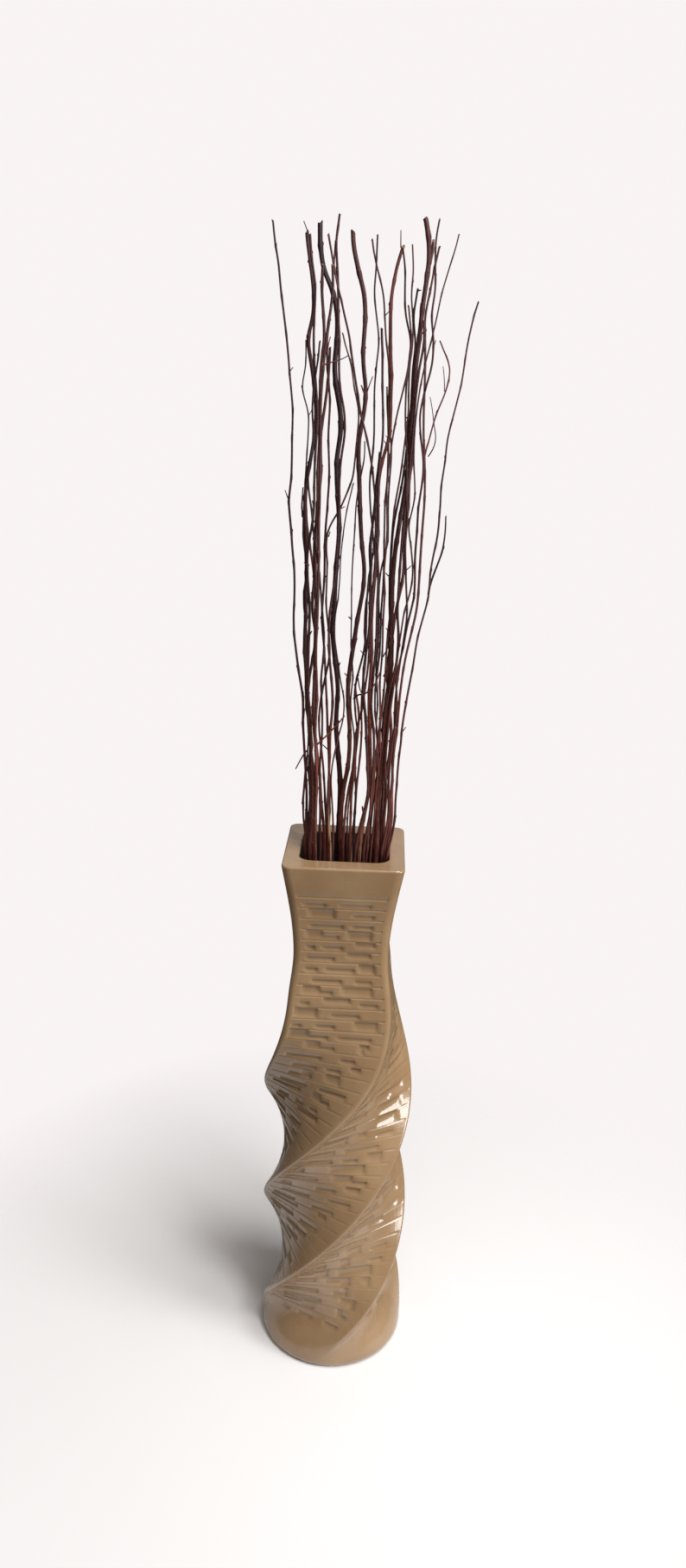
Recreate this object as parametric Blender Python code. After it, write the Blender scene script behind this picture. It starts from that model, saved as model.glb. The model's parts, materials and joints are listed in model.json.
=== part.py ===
"""Dry willow stems standing in a tall twisted ceramic vase.

The vase is one glazed casting: a square rim with rounded corners, a narrow
neck, four faces that twist clockwise as they run down, and a round foot.  The
stems are loose, cut at both ends, and stand on the floor of the vase.  Metres,
+Z up, with the origin at the middle of the vase's flat underside and the front
of the vase facing -Y.
"""

import math
import random

import bmesh
import bpy
import numpy as np
from mathutils import Vector

MM = 0.001

# ---- vase ------------------------------------------------------------------
VASE_HEIGHT = 0.600
FOOT_RADIUS = 0.0805
FOOT_EDGE = 0.008            # rounded edge where the foot meets the table
FOOT_BLEND = (0.008, 0.060)  # heights between which round turns into square
RIDGE_RADIUS = (0.0042, 0.0085)  # corner radius of the twisting body and of the rim
RIDGE_BLEND = (0.360, 0.580)     # heights between which one turns into the other
# half width of the square body at each height
BODY_HEIGHTS = (0.0, 0.05, 0.16, 0.32, 0.36, 0.40, 0.455, 0.495, 0.533, 0.5634, 0.585, 0.600)
BODY_HALVES = (0.0568, 0.0588, 0.0580, 0.0583, 0.0577, 0.0564, 0.0522, 0.0482, 0.0504, 0.0547,
               0.0583, 0.0608)
TWIST_RATE = math.radians(610.0)  # per metre of height, once fully under way
TWIST_START = 0.444               # no twist above this height
TWIST_FULL = 0.338                # full rate below this height
RIM_ROUND = 0.0025
MOUTH_HALF = 0.0446
MOUTH_SQUEEZE = 0.10         # the mouth is this much less deep than wide
INNER_CORNER = 0.006
MOUTH_CORNER = 0.014
WALL = 0.0062                # wall below the neck
FLOOR_TOP = 0.0095           # thickness of the bottom
RIM_DEPTH = 0.110            # height over which the thick rim thins to the wall
SECTION_ANGLES = (-45.0, -39.0, -20.0, 0.0, 20.0, 39.0)  # points of one quarter, in degrees
OUTER_STEP = 0.0150
INNER_STEP = 0.0200

# ---- stems -----------------------------------------------------------------
FIT_GAP = 0.0005             # clear space between neighbouring stems
SECTION_MARGIN = 1.18        # a leaning stem's level section is wider than the stem
STEM_SIDES_THICK = 1         # bevel resolution: six sides
STEM_SIDES_THIN = 0          # bevel resolution: four sides
THICK_STEM = 3.9 * MM
FOOT_HEIGHT = FLOOR_TOP + 0.0008
HIDDEN_LEVELS = (FOOT_HEIGHT, 0.10, 0.20, 0.30, 0.38, 0.44, 0.49, 0.54, 0.58)
LEVEL_STEP = 0.020
TOP_LEVEL = 1.200
DEPTH_LIMIT = 0.0275         # stems leave a free gap at the front and back of the vase
DEPTH_SPREAD = 0.0245        # half depth of the bunch at the rim
DEPTH_FAN = 0.70             # how far the bunch opens in depth from rim to top
DEPTH_WAVES = ((0.0042, 0.150), (0.0024, 0.083))  # (height, length) of the bends in depth
COURSE_STRETCH = 0.0000365   # courses are drawn out upwards, ever more towards the tips
COURSE_STILL = 123.0         # height above the rim, in mm, that stays where it is
COURSE_WIDEN = 1.024         # courses are also drawn out sideways
GOLDEN = 0.618034
SEED = 41

BARK_DARK = (0.030, 0.014, 0.014, 1.0)
BARK_RED = (0.075, 0.024, 0.017, 1.0)
GLAZE = (0.235, 0.165, 0.095, 1.0)


def drawn_out(course):
    """A course in mm, drawn out upwards and sideways."""
    drawn = []
    for height, offset in course:
        over = height - VASE_HEIGHT / MM
        rise = COURSE_STRETCH * over * (over - COURSE_STILL)
        drawn.append((height + rise, COURSE_WIDEN * offset))
    return tuple(drawn)


class Stem:
    """One willow stem: its thickness in mm and its sideways course above the rim.

    course is a tuple of (height, offset) stations in mm, from the rim up to the
    tip.  forks are (height of the joint, thickness, course) for grown branches.
    """

    def __init__(self, base, tip, course, forks=(), red=False):
        self.base = base * MM
        self.tip = tip * MM
        self.course = drawn_out(course)
        self.forks = tuple((drawn_out(((joint, 0),))[0][0], thick, drawn_out(line))
                           for joint, thick, line in forks)
        self.red = red


STEMS = (
    # --- left bunch ---
    Stem(3.2, 1.5, ((600, -39.5), (630, -38), (660, -38), (690, -40.3), (720, -42), (750, -44.3),
                    (780, -48.3), (810, -51.8), (840, -55), (870, -54.3), (900, -57.5),
                    (930, -58.7), (960, -58.6), (990, -57), (1020, -58.2), (1050, -60),
                    (1080, -63.5), (1110, -67.7), (1140, -70.6), (1164, -77))),
    Stem(2.3, 1.1, ((600, -41.5), (630, -45), (660, -41.7), (690, -40.2), (720, -41.2),
                    (750, -42), (780, -43), (810, -45), (840, -47.8), (870, -46), (900, -49.5),
                    (930, -49), (960, -47.5), (990, -47), (1012, -46.5), (1035, -53),
                    (1055, -48.3), (1075, -50)),
         forks=((900, 1.5, ((920, -50), (950, -50.2))),)),
    Stem(3.7, 3.0, ((600, -37), (630, -36), (660, -36), (690, -37), (720, -37.5), (750, -41.3),
                    (780, -42), (810, -44), (840, -44.5), (870, -43.5), (900, -45.5),
                    (930, -46), (960, -44.3), (990, -39.8), (1020, -38.5), (1050, -42.5),
                    (1080, -46.9), (1097, -41.6), (1110, -42.7), (1140, -47), (1160, -49.5))),
    Stem(3.4, 1.8, ((600, -34), (630, -33.5), (660, -33.5), (690, -34), (720, -36), (750, -37),
                    (780, -38.7), (810, -38), (840, -38.5), (870, -41.5), (900, -42),
                    (930, -36.8), (960, -36.5), (990, -36.5), (1020, -35.5), (1050, -38.3),
                    (1080, -39.3), (1110, -38.5), (1140, -42.4), (1153, -43.8))),
    Stem(4.6, 3.8, ((600, -7.5), (630, -8), (660, -8.3), (690, -10.5), (720, -14), (735, -14),
                    (755, -12.3), (780, -14.5), (810, -18), (840, -18.7), (870, -18.3),
                    (900, -16.3), (930, -16.5), (960, -18.3), (975, -18.8), (990, -16.5),
                    (1020, -16.8), (1050, -23.3), (1080, -22.4), (1100, -22.6), (1112, -25.5),
                    (1125, -32.5), (1140, -37), (1155, -38), (1170, -39)),
         forks=((1140, 2.9, ((1152, -35.2), (1165, -34.4))),)),
    Stem(2.9, 1.8, ((600, -14), (630, -16.5), (660, -18.6), (690, -18.7), (720, -17.8),
                    (750, -16.5), (780, -18.3), (810, -20.3), (840, -20), (870, -17),
                    (900, -15), (930, -15.2), (960, -15.5), (975, -14.5), (990, -11.6),
                    (1010, -11), (1035, -17), (1050, -18.2), (1080, -18.5), (1095, -20.6),
                    (1110, -20.3), (1140, -22.3), (1157, -24), (1171, -20.5))),
    Stem(3.3, 2.0, ((600, -28), (630, -29), (660, -29), (690, -28.7), (720, -30.3), (750, -30.4),
                    (780, -30), (810, -31.5), (840, -30.8), (870, -30.8), (900, -31),
                    (930, -30), (960, -31), (990, -31.3), (1020, -31.5), (1050, -30.3),
                    (1080, -26.6), (1110, -22.8), (1130, -24.6)), red=True),
    Stem(3.0, 1.6, ((600, -16.5), (630, -17.5), (660, -18), (690, -19.5), (720, -21),
                    (750, -21.8), (780, -23.8), (810, -27), (840, -28.2), (870, -26.8),
                    (900, -27), (930, -27.5), (960, -24.3), (990, -27), (1020, -26.7),
                    (1050, -28), (1080, -30.2), (1110, -26), (1140, -24.8), (1154, -24.2))),
    Stem(3.2, 2.2, ((600, -31), (630, -31), (660, -30.8), (690, -31), (720, -32.4), (750, -33.3),
                    (780, -33), (810, -34.8), (840, -34), (870, -33.3), (900, -35.5),
                    (930, -33.5), (960, -34), (990, -34), (1020, -33.5), (1050, -34),
                    (1080, -31), (1110, -35), (1132, -33.3)), red=True),
    Stem(3.3, 2.0, ((600, -22.5), (630, -24.8), (660, -27.8), (690, -31), (720, -34.2),
                    (750, -35.3), (780, -35.8), (810, -36.5), (840, -36.3), (870, -38.5),
                    (900, -43.5), (930, -47.2), (953, -46.4)), red=True),
    Stem(3.2, 1.2, ((600, -19), (630, -20.5), (660, -21.3), (690, -23.5), (720, -28.3),
                    (750, -28.2), (780, -23.6), (800, -20.7), (820, -21.3), (840, -23.8),
                    (870, -24.5), (900, -25.8), (918, -23), (935, -14), (945, -6.6),
                    (960, -2.3), (990, -1.8), (1005, 0.6), (1020, 0), (1035, -4.5),
                    (1062, -10.5), (1080, -17.7))),
    Stem(2.6, 1.5, ((600, -25), (630, -23.5), (660, -25), (690, -26.4), (720, -25), (750, -26),
                    (780, -27.6), (810, -24.5), (840, -26), (870, -29.5), (900, -33), (930, -39),
                    (960, -41.8), (990, -38.5), (1020, -40), (1050, -36.2), (1072, -33.6))),
    # --- stems through the open middle ---
    Stem(4.4, 3.4, ((600, -4.5), (630, -5.2), (660, -3.5), (690, 1), (720, 1.3), (750, -2.4),
                    (780, -0.8), (810, 2.4), (840, 7.3), (870, 10.8), (900, 7), (930, 3.7),
                    (960, 1), (975, -0.5), (990, -1), (1005, 1.5), (1020, 4.5), (1035, 5.3),
                    (1050, 3.2), (1080, 2.4), (1110, 2), (1128, -3), (1140, -8.2),
                    (1162, -10.5)), red=True),
    Stem(2.0, 1.1, ((600, 2), (630, 1.6), (660, 2), (690, 4.5), (720, 5), (750, 1), (780, 1.6),
                    (810, 0.4), (840, -0.5), (870, -1.5), (900, -1), (930, 0.2), (945, 1.5),
                    (960, 4.5), (978, 7.7), (992, 6))),
    Stem(2.4, 1.0, ((600, -11.5), (630, -12), (660, -13.5), (690, -15.5), (720, -10), (750, -4),
                    (780, -9.6), (810, -13), (840, -15), (870, -11.3), (900, -9.7),
                    (930, -6.8), (950, -2.6), (958, -1.6))),
    Stem(3.4, 1.8, ((600, -1.5), (630, -0.7), (660, 1), (690, 5.5), (720, 9), (735, 9.2),
                    (750, 6.8), (768, 3.2)), red=True),
    Stem(2.6, 1.6, ((600, 3.6), (630, 4.2), (660, 4.6), (690, 7.8), (720, 5.6), (750, 11.6),
                    (780, 15.6), (810, 17), (840, 15.4), (870, 18), (900, 19.2), (930, 19.4),
                    (945, 18), (960, 14.5), (975, 12), (990, 9.7), (1005, 3), (1020, 0.2),
                    (1035, -2.5), (1050, -5.2), (1068, -6), (1080, -10.5), (1095, -15.3),
                    (1110, -20), (1125, -23), (1140, -26.2), (1154, -29))),
    # --- right bunch ---
    Stem(2.8, 1.4, ((600, 28), (630, 29.4), (660, 29.6), (690, 28), (720, 26.8), (750, 24.3),
                    (780, 25.5), (810, 27), (840, 27), (870, 26.7), (900, 26.6), (930, 26.5),
                    (960, 26.5), (990, 26.8), (1020, 25.6), (1050, 26.2), (1065, 22.4),
                    (1080, 19.7), (1095, 19.5), (1110, 18), (1125, 13.3), (1140, 8.7),
                    (1157, 5.5))),
    Stem(2.6, 1.3, ((600, 8.6), (630, 8.6), (660, 9.4), (690, 7), (720, 9), (750, 3.4),
                    (765, 4.6), (780, 7.8), (810, 12.8), (840, 13), (870, 13.5), (900, 17),
                    (930, 13.4), (960, 11.2), (975, 12.8), (990, 13.7), (1020, 12.8),
                    (1050, 13), (1070, 16.7), (1080, 16), (1110, 10.6), (1128, 12),
                    (1140, 12.2), (1156, 11))),
    Stem(2.8, 1.8, ((600, 19), (630, 21), (660, 24.5), (690, 24.6), (720, 24), (750, 21.5),
                    (780, 20.6), (810, 22), (840, 22), (870, 22.5), (900, 21.5), (930, 21),
                    (960, 19.5), (975, 20), (990, 22), (1020, 21), (1050, 19), (1065, 18),
                    (1083, 17.8))),
    Stem(4.0, 2.7, ((600, 14.0), (630, 18.0), (660, 23), (690, 22.3), (720, 19.3), (750, 18),
                    (780, 18.7), (810, 18.3), (840, 18.5), (870, 19), (900, 20), (930, 20.3),
                    (960, 20.6), (975, 23), (990, 27), (1005, 28.8), (1020, 28), (1050, 26.8),
                    (1080, 26.2), (1110, 24.6), (1125, 25.8), (1143, 31), (1151, 33.4)),
         red=True),
    Stem(2.6, 1.4, ((600, 39.8), (630, 42), (660, 42.8), (690, 44), (720, 43), (750, 42),
                    (780, 44.5), (810, 47), (840, 50), (870, 47.2), (900, 46), (930, 45.6),
                    (960, 44), (990, 42), (1020, 40.3), (1050, 41), (1080, 42.8), (1095, 36.9),
                    (1110, 35.8), (1125, 36), (1146, 31.4))),
    Stem(3.2, 1.3, ((600, 31), (630, 33), (660, 33), (690, 32), (720, 29.6), (750, 31.5),
                    (780, 32.3), (810, 33.5), (840, 36.5), (870, 33), (900, 33), (930, 35),
                    (960, 38.7), (990, 41.5), (1020, 45), (1050, 43.5), (1080, 46), (1095, 45),
                    (1110, 42.3), (1125, 42), (1140, 44.6), (1154, 40.5)), red=True),
    Stem(4.6, 3.6, ((600, 31.5), (630, 30.7), (660, 31.3), (690, 33), (720, 35), (750, 38.3),
                    (780, 38), (810, 38), (840, 35.5), (870, 36.3), (900, 37), (930, 40.5),
                    (960, 44), (990, 46), (1020, 47.8), (1035, 47), (1050, 47), (1080, 50.3),
                    (1110, 53), (1125, 54.5), (1140, 55.2), (1150, 54.6), (1160, 51.6),
                    (1170, 49.6)),
         forks=((1160, 2.6, ((1166, 52.6), (1171, 53.6))),
                (1120, 2.6, ((1140, 57.4), (1155, 58.2)))), red=True),
    Stem(3.0, 1.4, ((600, 37.4), (630, 40), (660, 40.8), (690, 41), (720, 41.5), (750, 44.4),
                    (780, 43.8), (810, 47.5), (840, 52.5), (870, 56), (900, 55.5), (930, 56.3),
                    (960, 57.5), (975, 58), (990, 55.5), (1005, 52.9), (1020, 52.8),
                    (1050, 61), (1065, 63.4), (1080, 61.3), (1095, 58), (1110, 61),
                    (1125, 60.5), (1140, 59.4), (1150, 59.3), (1166, 62.3))),
    Stem(3.0, 1.7, ((600, 42), (615, 44.3), (630, 46), (660, 43.6), (690, 43.6), (720, 46.5),
                    (750, 48), (780, 50.5), (795, 52.5), (810, 55.5), (840, 60), (870, 60),
                    (900, 60.5), (930, 61.3), (945, 62), (960, 61), (980, 59.8), (1005, 58.5),
                    (1035, 58.5), (1065, 57.5), (1095, 54), (1110, 55.5), (1125, 60),
                    (1140, 62.3), (1152, 64.5)),
         forks=((980, 1.4, ((1000, 64.4), (1020, 70), (1040, 77.4), (1055, 78.9), (1065, 74.5),
                            (1079, 66))),), red=True),
    Stem(2.4, 1.1, ((600, 26), (630, 27.5), (660, 28), (690, 30), (720, 33.5), (750, 35.5),
                    (780, 41), (810, 45), (840, 48.4), (870, 54.3), (885, 53.5), (900, 51),
                    (915, 48.4), (930, 50.3), (945, 53), (960, 51.8), (990, 50.5), (1020, 51.5),
                    (1050, 55), (1065, 57.5), (1083, 62.3), (1110, 67.5), (1125, 71),
                    (1140, 75.3), (1158, 80))),
    Stem(3.0, 1.2, ((600, 42.2), (630, 46.7), (645, 48.3), (660, 47), (690, 48), (720, 51.3),
                    (750, 51.3), (780, 54.8), (810, 59), (825, 61), (840, 64.5), (860, 68.6),
                    (885, 68.8), (900, 70.7), (930, 75.8), (950, 74.7), (990, 76.8), (1005, 77.2),
                    (1020, 82.3), (1035, 84.6), (1050, 87.3), (1065, 90), (1080, 90.7),
                    (1105, 98)),
         forks=((860, 1.7, ((880, 72), (900, 77.6), (915, 79.6), (934, 79.6))),)),
    Stem(3.4, 1.6, ((600, 35.6), (630, 34.3), (660, 34.5), (690, 34.5), (720, 32.2), (750, 33.3),
                    (780, 36), (810, 36), (840, 33.7), (870, 34), (900, 34.2), (930, 36.3),
                    (960, 40.5), (990, 43.3), (1020, 45.7), (1050, 44.5), (1080, 47),
                    (1095, 44.6), (1117, 47.6))),
    Stem(2.9, 1.3, ((600, 21), (630, 23), (660, 26.5), (690, 27), (720, 28.5), (750, 29.5),
                    (780, 28.7), (810, 29), (840, 28.6), (870, 28.2), (900, 28.5), (930, 28.3),
                    (960, 27.3), (990, 29.3), (1005, 31), (1035, 37.5), (1050, 41), (1065, 42.5),
                    (1080, 44), (1102, 37.6))),
    Stem(2.4, 1.3, ((600, 24), (630, 25.4), (660, 26.6), (690, 29), (720, 25.4), (750, 26.6),
                    (780, 24), (810, 25.6), (840, 25.3), (870, 24.3), (900, 29.4), (930, 29.8),
                    (960, 30.2), (990, 30), (1010, 25.6), (1038, 23.8))),
    Stem(3.6, 1.9, ((600, 38.4), (630, 38), (660, 37.8), (690, 37), (720, 38), (750, 39.5),
                    (780, 41), (810, 43), (840, 42.5), (870, 43.2), (900, 43), (930, 43.4),
                    (960, 45.5), (990, 47.5), (1020, 50), (1050, 51.5), (1080, 54.4),
                    (1092, 53))),
    Stem(3.6, 2.0, ((600, 10), (630, 13.3), (660, 20.3), (690, 20.4), (720, 17), (750, 14.7),
                    (780, 13.5), (810, 15), (840, 17.4), (870, 16), (900, 14.8), (930, 17.2),
                    (960, 17.6), (984, 20.6))),
    Stem(2.5, 1.5, ((600, 6.2), (630, 7.6), (660, 9.8), (690, 12.3), (720, 13.4), (750, 10.8),
                    (780, 13.4), (810, 12.4), (840, 11.6), (870, 14.5), (900, 12.4),
                    (916, 16.4)), red=True),
    # --- short ones buried in the two bunches ---
    Stem(3.2, 2.2, ((600, -35.5), (630, -34), (660, -32), (690, -34.6), (720, -38.6),
                    (750, -39.8), (780, -37.4), (810, -33.2), (840, -37.4), (870, -35.4),
                    (900, -37.4), (930, -34.8), (960, -31.8), (990, -33), (1020, -29),
                    (1050, -26.4), (1068, -26))),
    Stem(3.4, 2.4, ((600, 34), (630, 36.4), (660, 35.8), (690, 39), (720, 40.4), (750, 36.4),
                    (780, 33.6), (810, 38.8), (840, 41), (870, 45.2), (900, 44.6), (930, 47.6),
                    (960, 48.2), (990, 49.2), (1020, 46.6), (1050, 49.4), (1080, 52),
                    (1108, 51.4))),
)


# ---- small numeric helpers ---------------------------------------------------

def smoothstep(value, low, high):
    t = min(max((value - low) / (high - low), 0.0), 1.0)
    return t * t * (3.0 - 2.0 * t)


def smooth_curve(stations, heights):
    """Value at each height of a smooth curve through (height, value) stations."""
    knots = np.array(stations, dtype=float)
    z, v = knots[:, 0], knots[:, 1]
    slope = np.gradient(v, z)
    heights = np.clip(heights, z[0], z[-1])
    k = np.clip(np.searchsorted(z, heights, side="right") - 1, 0, len(z) - 2)
    span = z[k + 1] - z[k]
    t = (heights - z[k]) / span
    rise = t * t * (3.0 - 2.0 * t)
    lead = t * (1.0 - t) ** 2 * span * slope[k]
    trail = t * t * (1.0 - t) * span * slope[k + 1]
    return v[k] * (1.0 - rise) + v[k + 1] * rise + lead - trail


def body_half(height):
    """Half width of the vase's square body, a smooth curve through its stations."""
    stations = tuple(zip(BODY_HEIGHTS, BODY_HALVES))
    return float(smooth_curve(stations, np.array([height]))[0])


def twist(height):
    """Angle that the section has turned, counted from the neck down."""
    if height >= TWIST_START:
        return 0.0
    ease = TWIST_START - TWIST_FULL
    if height >= TWIST_FULL:
        return 0.5 * TWIST_RATE * (TWIST_START - height) ** 2 / ease
    return TWIST_RATE * (0.5 * ease + TWIST_FULL - height)


def square_radius(angle, half, corner):
    """Distance from the middle to a rounded square's edge, in a direction."""
    a = abs((angle + math.pi / 4.0) % (math.pi / 2.0) - math.pi / 4.0)
    flat = half - corner
    if math.tan(a) * half <= flat:
        return half / math.cos(a)
    centre = flat * math.sqrt(2.0)
    off = math.pi / 4.0 - a
    return centre * math.cos(off) + math.sqrt(max(corner ** 2 - (centre * math.sin(off)) ** 2, 0.0))


def round_part(height):
    """1 at the round foot, 0 where the body is square."""
    return 1.0 - smoothstep(height, *FOOT_BLEND)


def outer_radius(angle, height):
    w = round_part(height)
    low, high = RIDGE_RADIUS
    corner = low + (high - low) * smoothstep(height, *RIDGE_BLEND)
    square = square_radius(angle, body_half(height), corner)
    radius = square * (1.0 - w) + FOOT_RADIUS * w
    if height < FOOT_EDGE:
        drop = 1.0 - height / FOOT_EDGE
        radius -= FOOT_EDGE * (1.0 - math.sqrt(1.0 - drop * drop))
    into_rim = height - (VASE_HEIGHT - RIM_ROUND)
    if into_rim > 0.0:
        drop = into_rim / RIM_ROUND
        radius -= RIM_ROUND * (1.0 - math.sqrt(1.0 - drop * drop))
    return radius


def inner_radius(angle, height):
    """The cavity follows the body, with a thicker wall at the rim."""
    near_rim = smoothstep(height, VASE_HEIGHT - RIM_DEPTH, VASE_HEIGHT)
    half = (body_half(height) - WALL) * (1.0 - near_rim) + MOUTH_HALF * near_rim
    corner = INNER_CORNER + (MOUTH_CORNER - INNER_CORNER) * near_rim
    w = round_part(height)
    square = square_radius(angle, half, corner)
    return square * (1.0 - w) + (FOOT_RADIUS - 1.4 * WALL) * w


# ---- scene helpers -----------------------------------------------------------

def clear_scene():
    for obj in list(bpy.data.objects):
        bpy.data.objects.remove(obj, do_unlink=True)


def new_collection(name):
    collection = bpy.data.collections.new(name)
    bpy.context.scene.collection.children.link(collection)
    return collection


def make_material(name, colour, roughness):
    material = bpy.data.materials.new(name)
    material.use_nodes = True
    shader = material.node_tree.nodes["Principled BSDF"]
    shader.inputs["Base Color"].default_value = colour
    shader.inputs["Roughness"].default_value = roughness
    shader.inputs["Metallic"].default_value = 0.0
    material.diffuse_color = colour
    return material


# ---- vase --------------------------------------------------------------------

def steps_between(low, high, step):
    count = max(1, round((high - low) / step))
    return [low + (high - low) * i / count for i in range(count + 1)]


def outer_levels():
    foot = [FOOT_EDGE * (1.0 - math.cos(math.radians(a))) for a in (0, 40, 65, 90)]
    body = steps_between(FOOT_EDGE, VASE_HEIGHT - 0.015, OUTER_STEP)[1:]
    rim = [VASE_HEIGHT - RIM_ROUND * (1.0 - math.sin(math.radians(a))) for a in (0, 35, 65, 90)]
    return foot + body + rim


def inner_levels():
    return steps_between(FLOOR_TOP, VASE_HEIGHT, INNER_STEP)


def section_points(height, radius_at):
    points = []
    squeeze = 1.0
    if radius_at is inner_radius:
        squeeze -= MOUTH_SQUEEZE * smoothstep(height, VASE_HEIGHT - RIM_DEPTH, VASE_HEIGHT)
    for quarter in range(4):
        for degrees in SECTION_ANGLES:
            angle = math.radians(90.0 * quarter + degrees)
            radius = radius_at(angle, height)
            turned = angle - twist(height)
            across = squeeze * radius * math.sin(turned)
            points.append(Vector((radius * math.cos(turned), across, height)))
    return points


def build_vase(collection, material):
    """One casting: up the outside, over the flat rim, down the inside, closed by the floor."""
    sections = [section_points(z, outer_radius) for z in outer_levels()]
    sections += [section_points(z, inner_radius) for z in reversed(inner_levels())]
    bm = bmesh.new()
    rings = [[bm.verts.new(point) for point in section] for section in sections]
    count = len(rings[0])
    for lower, upper in zip(rings, rings[1:]):
        for i in range(count):
            j = (i + 1) % count
            bm.faces.new((lower[i], lower[j], upper[j], upper[i]))
    bm.faces.new(list(reversed(rings[0])))
    bm.faces.new(rings[-1])
    bmesh.ops.recalc_face_normals(bm, faces=bm.faces)
    mesh = bpy.data.meshes.new("vase")
    bm.to_mesh(mesh)
    bm.free()
    mesh.shade_smooth()
    mesh.set_sharp_from_angle(angle=math.radians(40.0))
    vase = bpy.data.objects.new("vase", mesh)
    vase.data.materials.append(material)
    collection.objects.link(vase)
    return vase


# ---- stems: courses that keep clear of each other ------------------------------

def level_heights():
    above = np.arange(VASE_HEIGHT, TOP_LEVEL + 0.5 * LEVEL_STEP, LEVEL_STEP)
    return np.concatenate((np.array(HIDDEN_LEVELS), above))


class Strand:
    """A stem or one of its branches, followed from level to level."""

    def __init__(self, stem, plant, course, base, tip, start=0, parent=None):
        self.stem = stem
        self.plant = plant
        self.course = course
        self.base = base
        self.tip = tip
        self.start = start
        self.parent = parent
        self.top = course[-1][0] * MM


def all_strands(levels):
    strands = []
    for plant, stem in enumerate(STEMS):
        main = Strand(stem, plant, stem.course, stem.base, stem.tip)
        strands.append(main)
        for joint, thickness, course in stem.forks:
            start = int(np.argmin(np.abs(levels - joint * MM)))
            root = (joint, float(smooth_curve(stem.course, np.array([float(joint)]))[0]))
            branch = Strand(stem, plant, (root,) + course, thickness * MM, 0.75 * thickness * MM,
                            start, main)
            strands.append(branch)
    return strands


def sideways(strand, levels):
    """Sideways place at every level, carried on into the vase towards the foot."""
    x = smooth_curve(strand.course, levels / MM) * MM
    rim_x = strand.course[0][1] * MM
    lean = x[-1] - rim_x
    foot_x = min(max(0.62 * rim_x - 0.22 * lean, -0.034), 0.034)
    hidden = levels < VASE_HEIGHT
    share = (VASE_HEIGHT - levels[hidden]) / (VASE_HEIGHT - FOOT_HEIGHT)
    x[hidden] = rim_x + (foot_x - rim_x) * share
    return x


def thickness(strand, levels):
    """Half thickness at every level: an even taper, a little swollen at the foot."""
    low = levels[strand.start]
    share = np.clip((levels - low) / (strand.top - low), 0.0, 1.0)
    return 0.5 * (strand.base + (strand.tip - strand.base) * share ** 0.85)


def room_inside(levels, radii):
    """How far a stem may stand from the middle, sideways, at every level."""
    limit = np.full(len(levels), 1.0)
    for k, z in enumerate(levels):
        if z <= VASE_HEIGHT:
            limit[k] = inner_radius(0.0, z) - 0.0008
        if z < TWIST_START:
            limit[k] *= 0.80
    return limit - radii


def spots(strands):
    """Place of every strand in the bunch's depth, from -1 at the front to 1 at the back."""
    return np.array([((s.plant * GOLDEN + 0.35) % 1.0) * 2.0 - 1.0 for s in strands])


def first_depths(strands, levels):
    """Depth at every level before the stems are eased apart."""
    depths = np.zeros((len(strands), len(levels)))
    for i, (strand, spot) in enumerate(zip(strands, spots(strands))):
        rim_y = spot * DEPTH_SPREAD
        rise = (levels - VASE_HEIGHT) / (TOP_LEVEL - VASE_HEIGHT)
        above = 1.0 + DEPTH_FAN * np.clip(rise, 0.0, 1.0)
        below = np.clip(levels / VASE_HEIGHT, 0.0, 1.0)
        chance = random.Random(SEED + strand.plant)
        sway = np.zeros(len(levels))
        for size, length in DEPTH_WAVES:
            phase = chance.uniform(0.0, 2.0 * math.pi)
            stretch = chance.uniform(0.85, 1.2)
            sway += size * np.sin(2.0 * math.pi * levels / (length * stretch) + phase)
        depths[i] = rim_y * above * below + sway * np.clip(rise * 4.0, 0.0, 1.0)
    return depths


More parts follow.
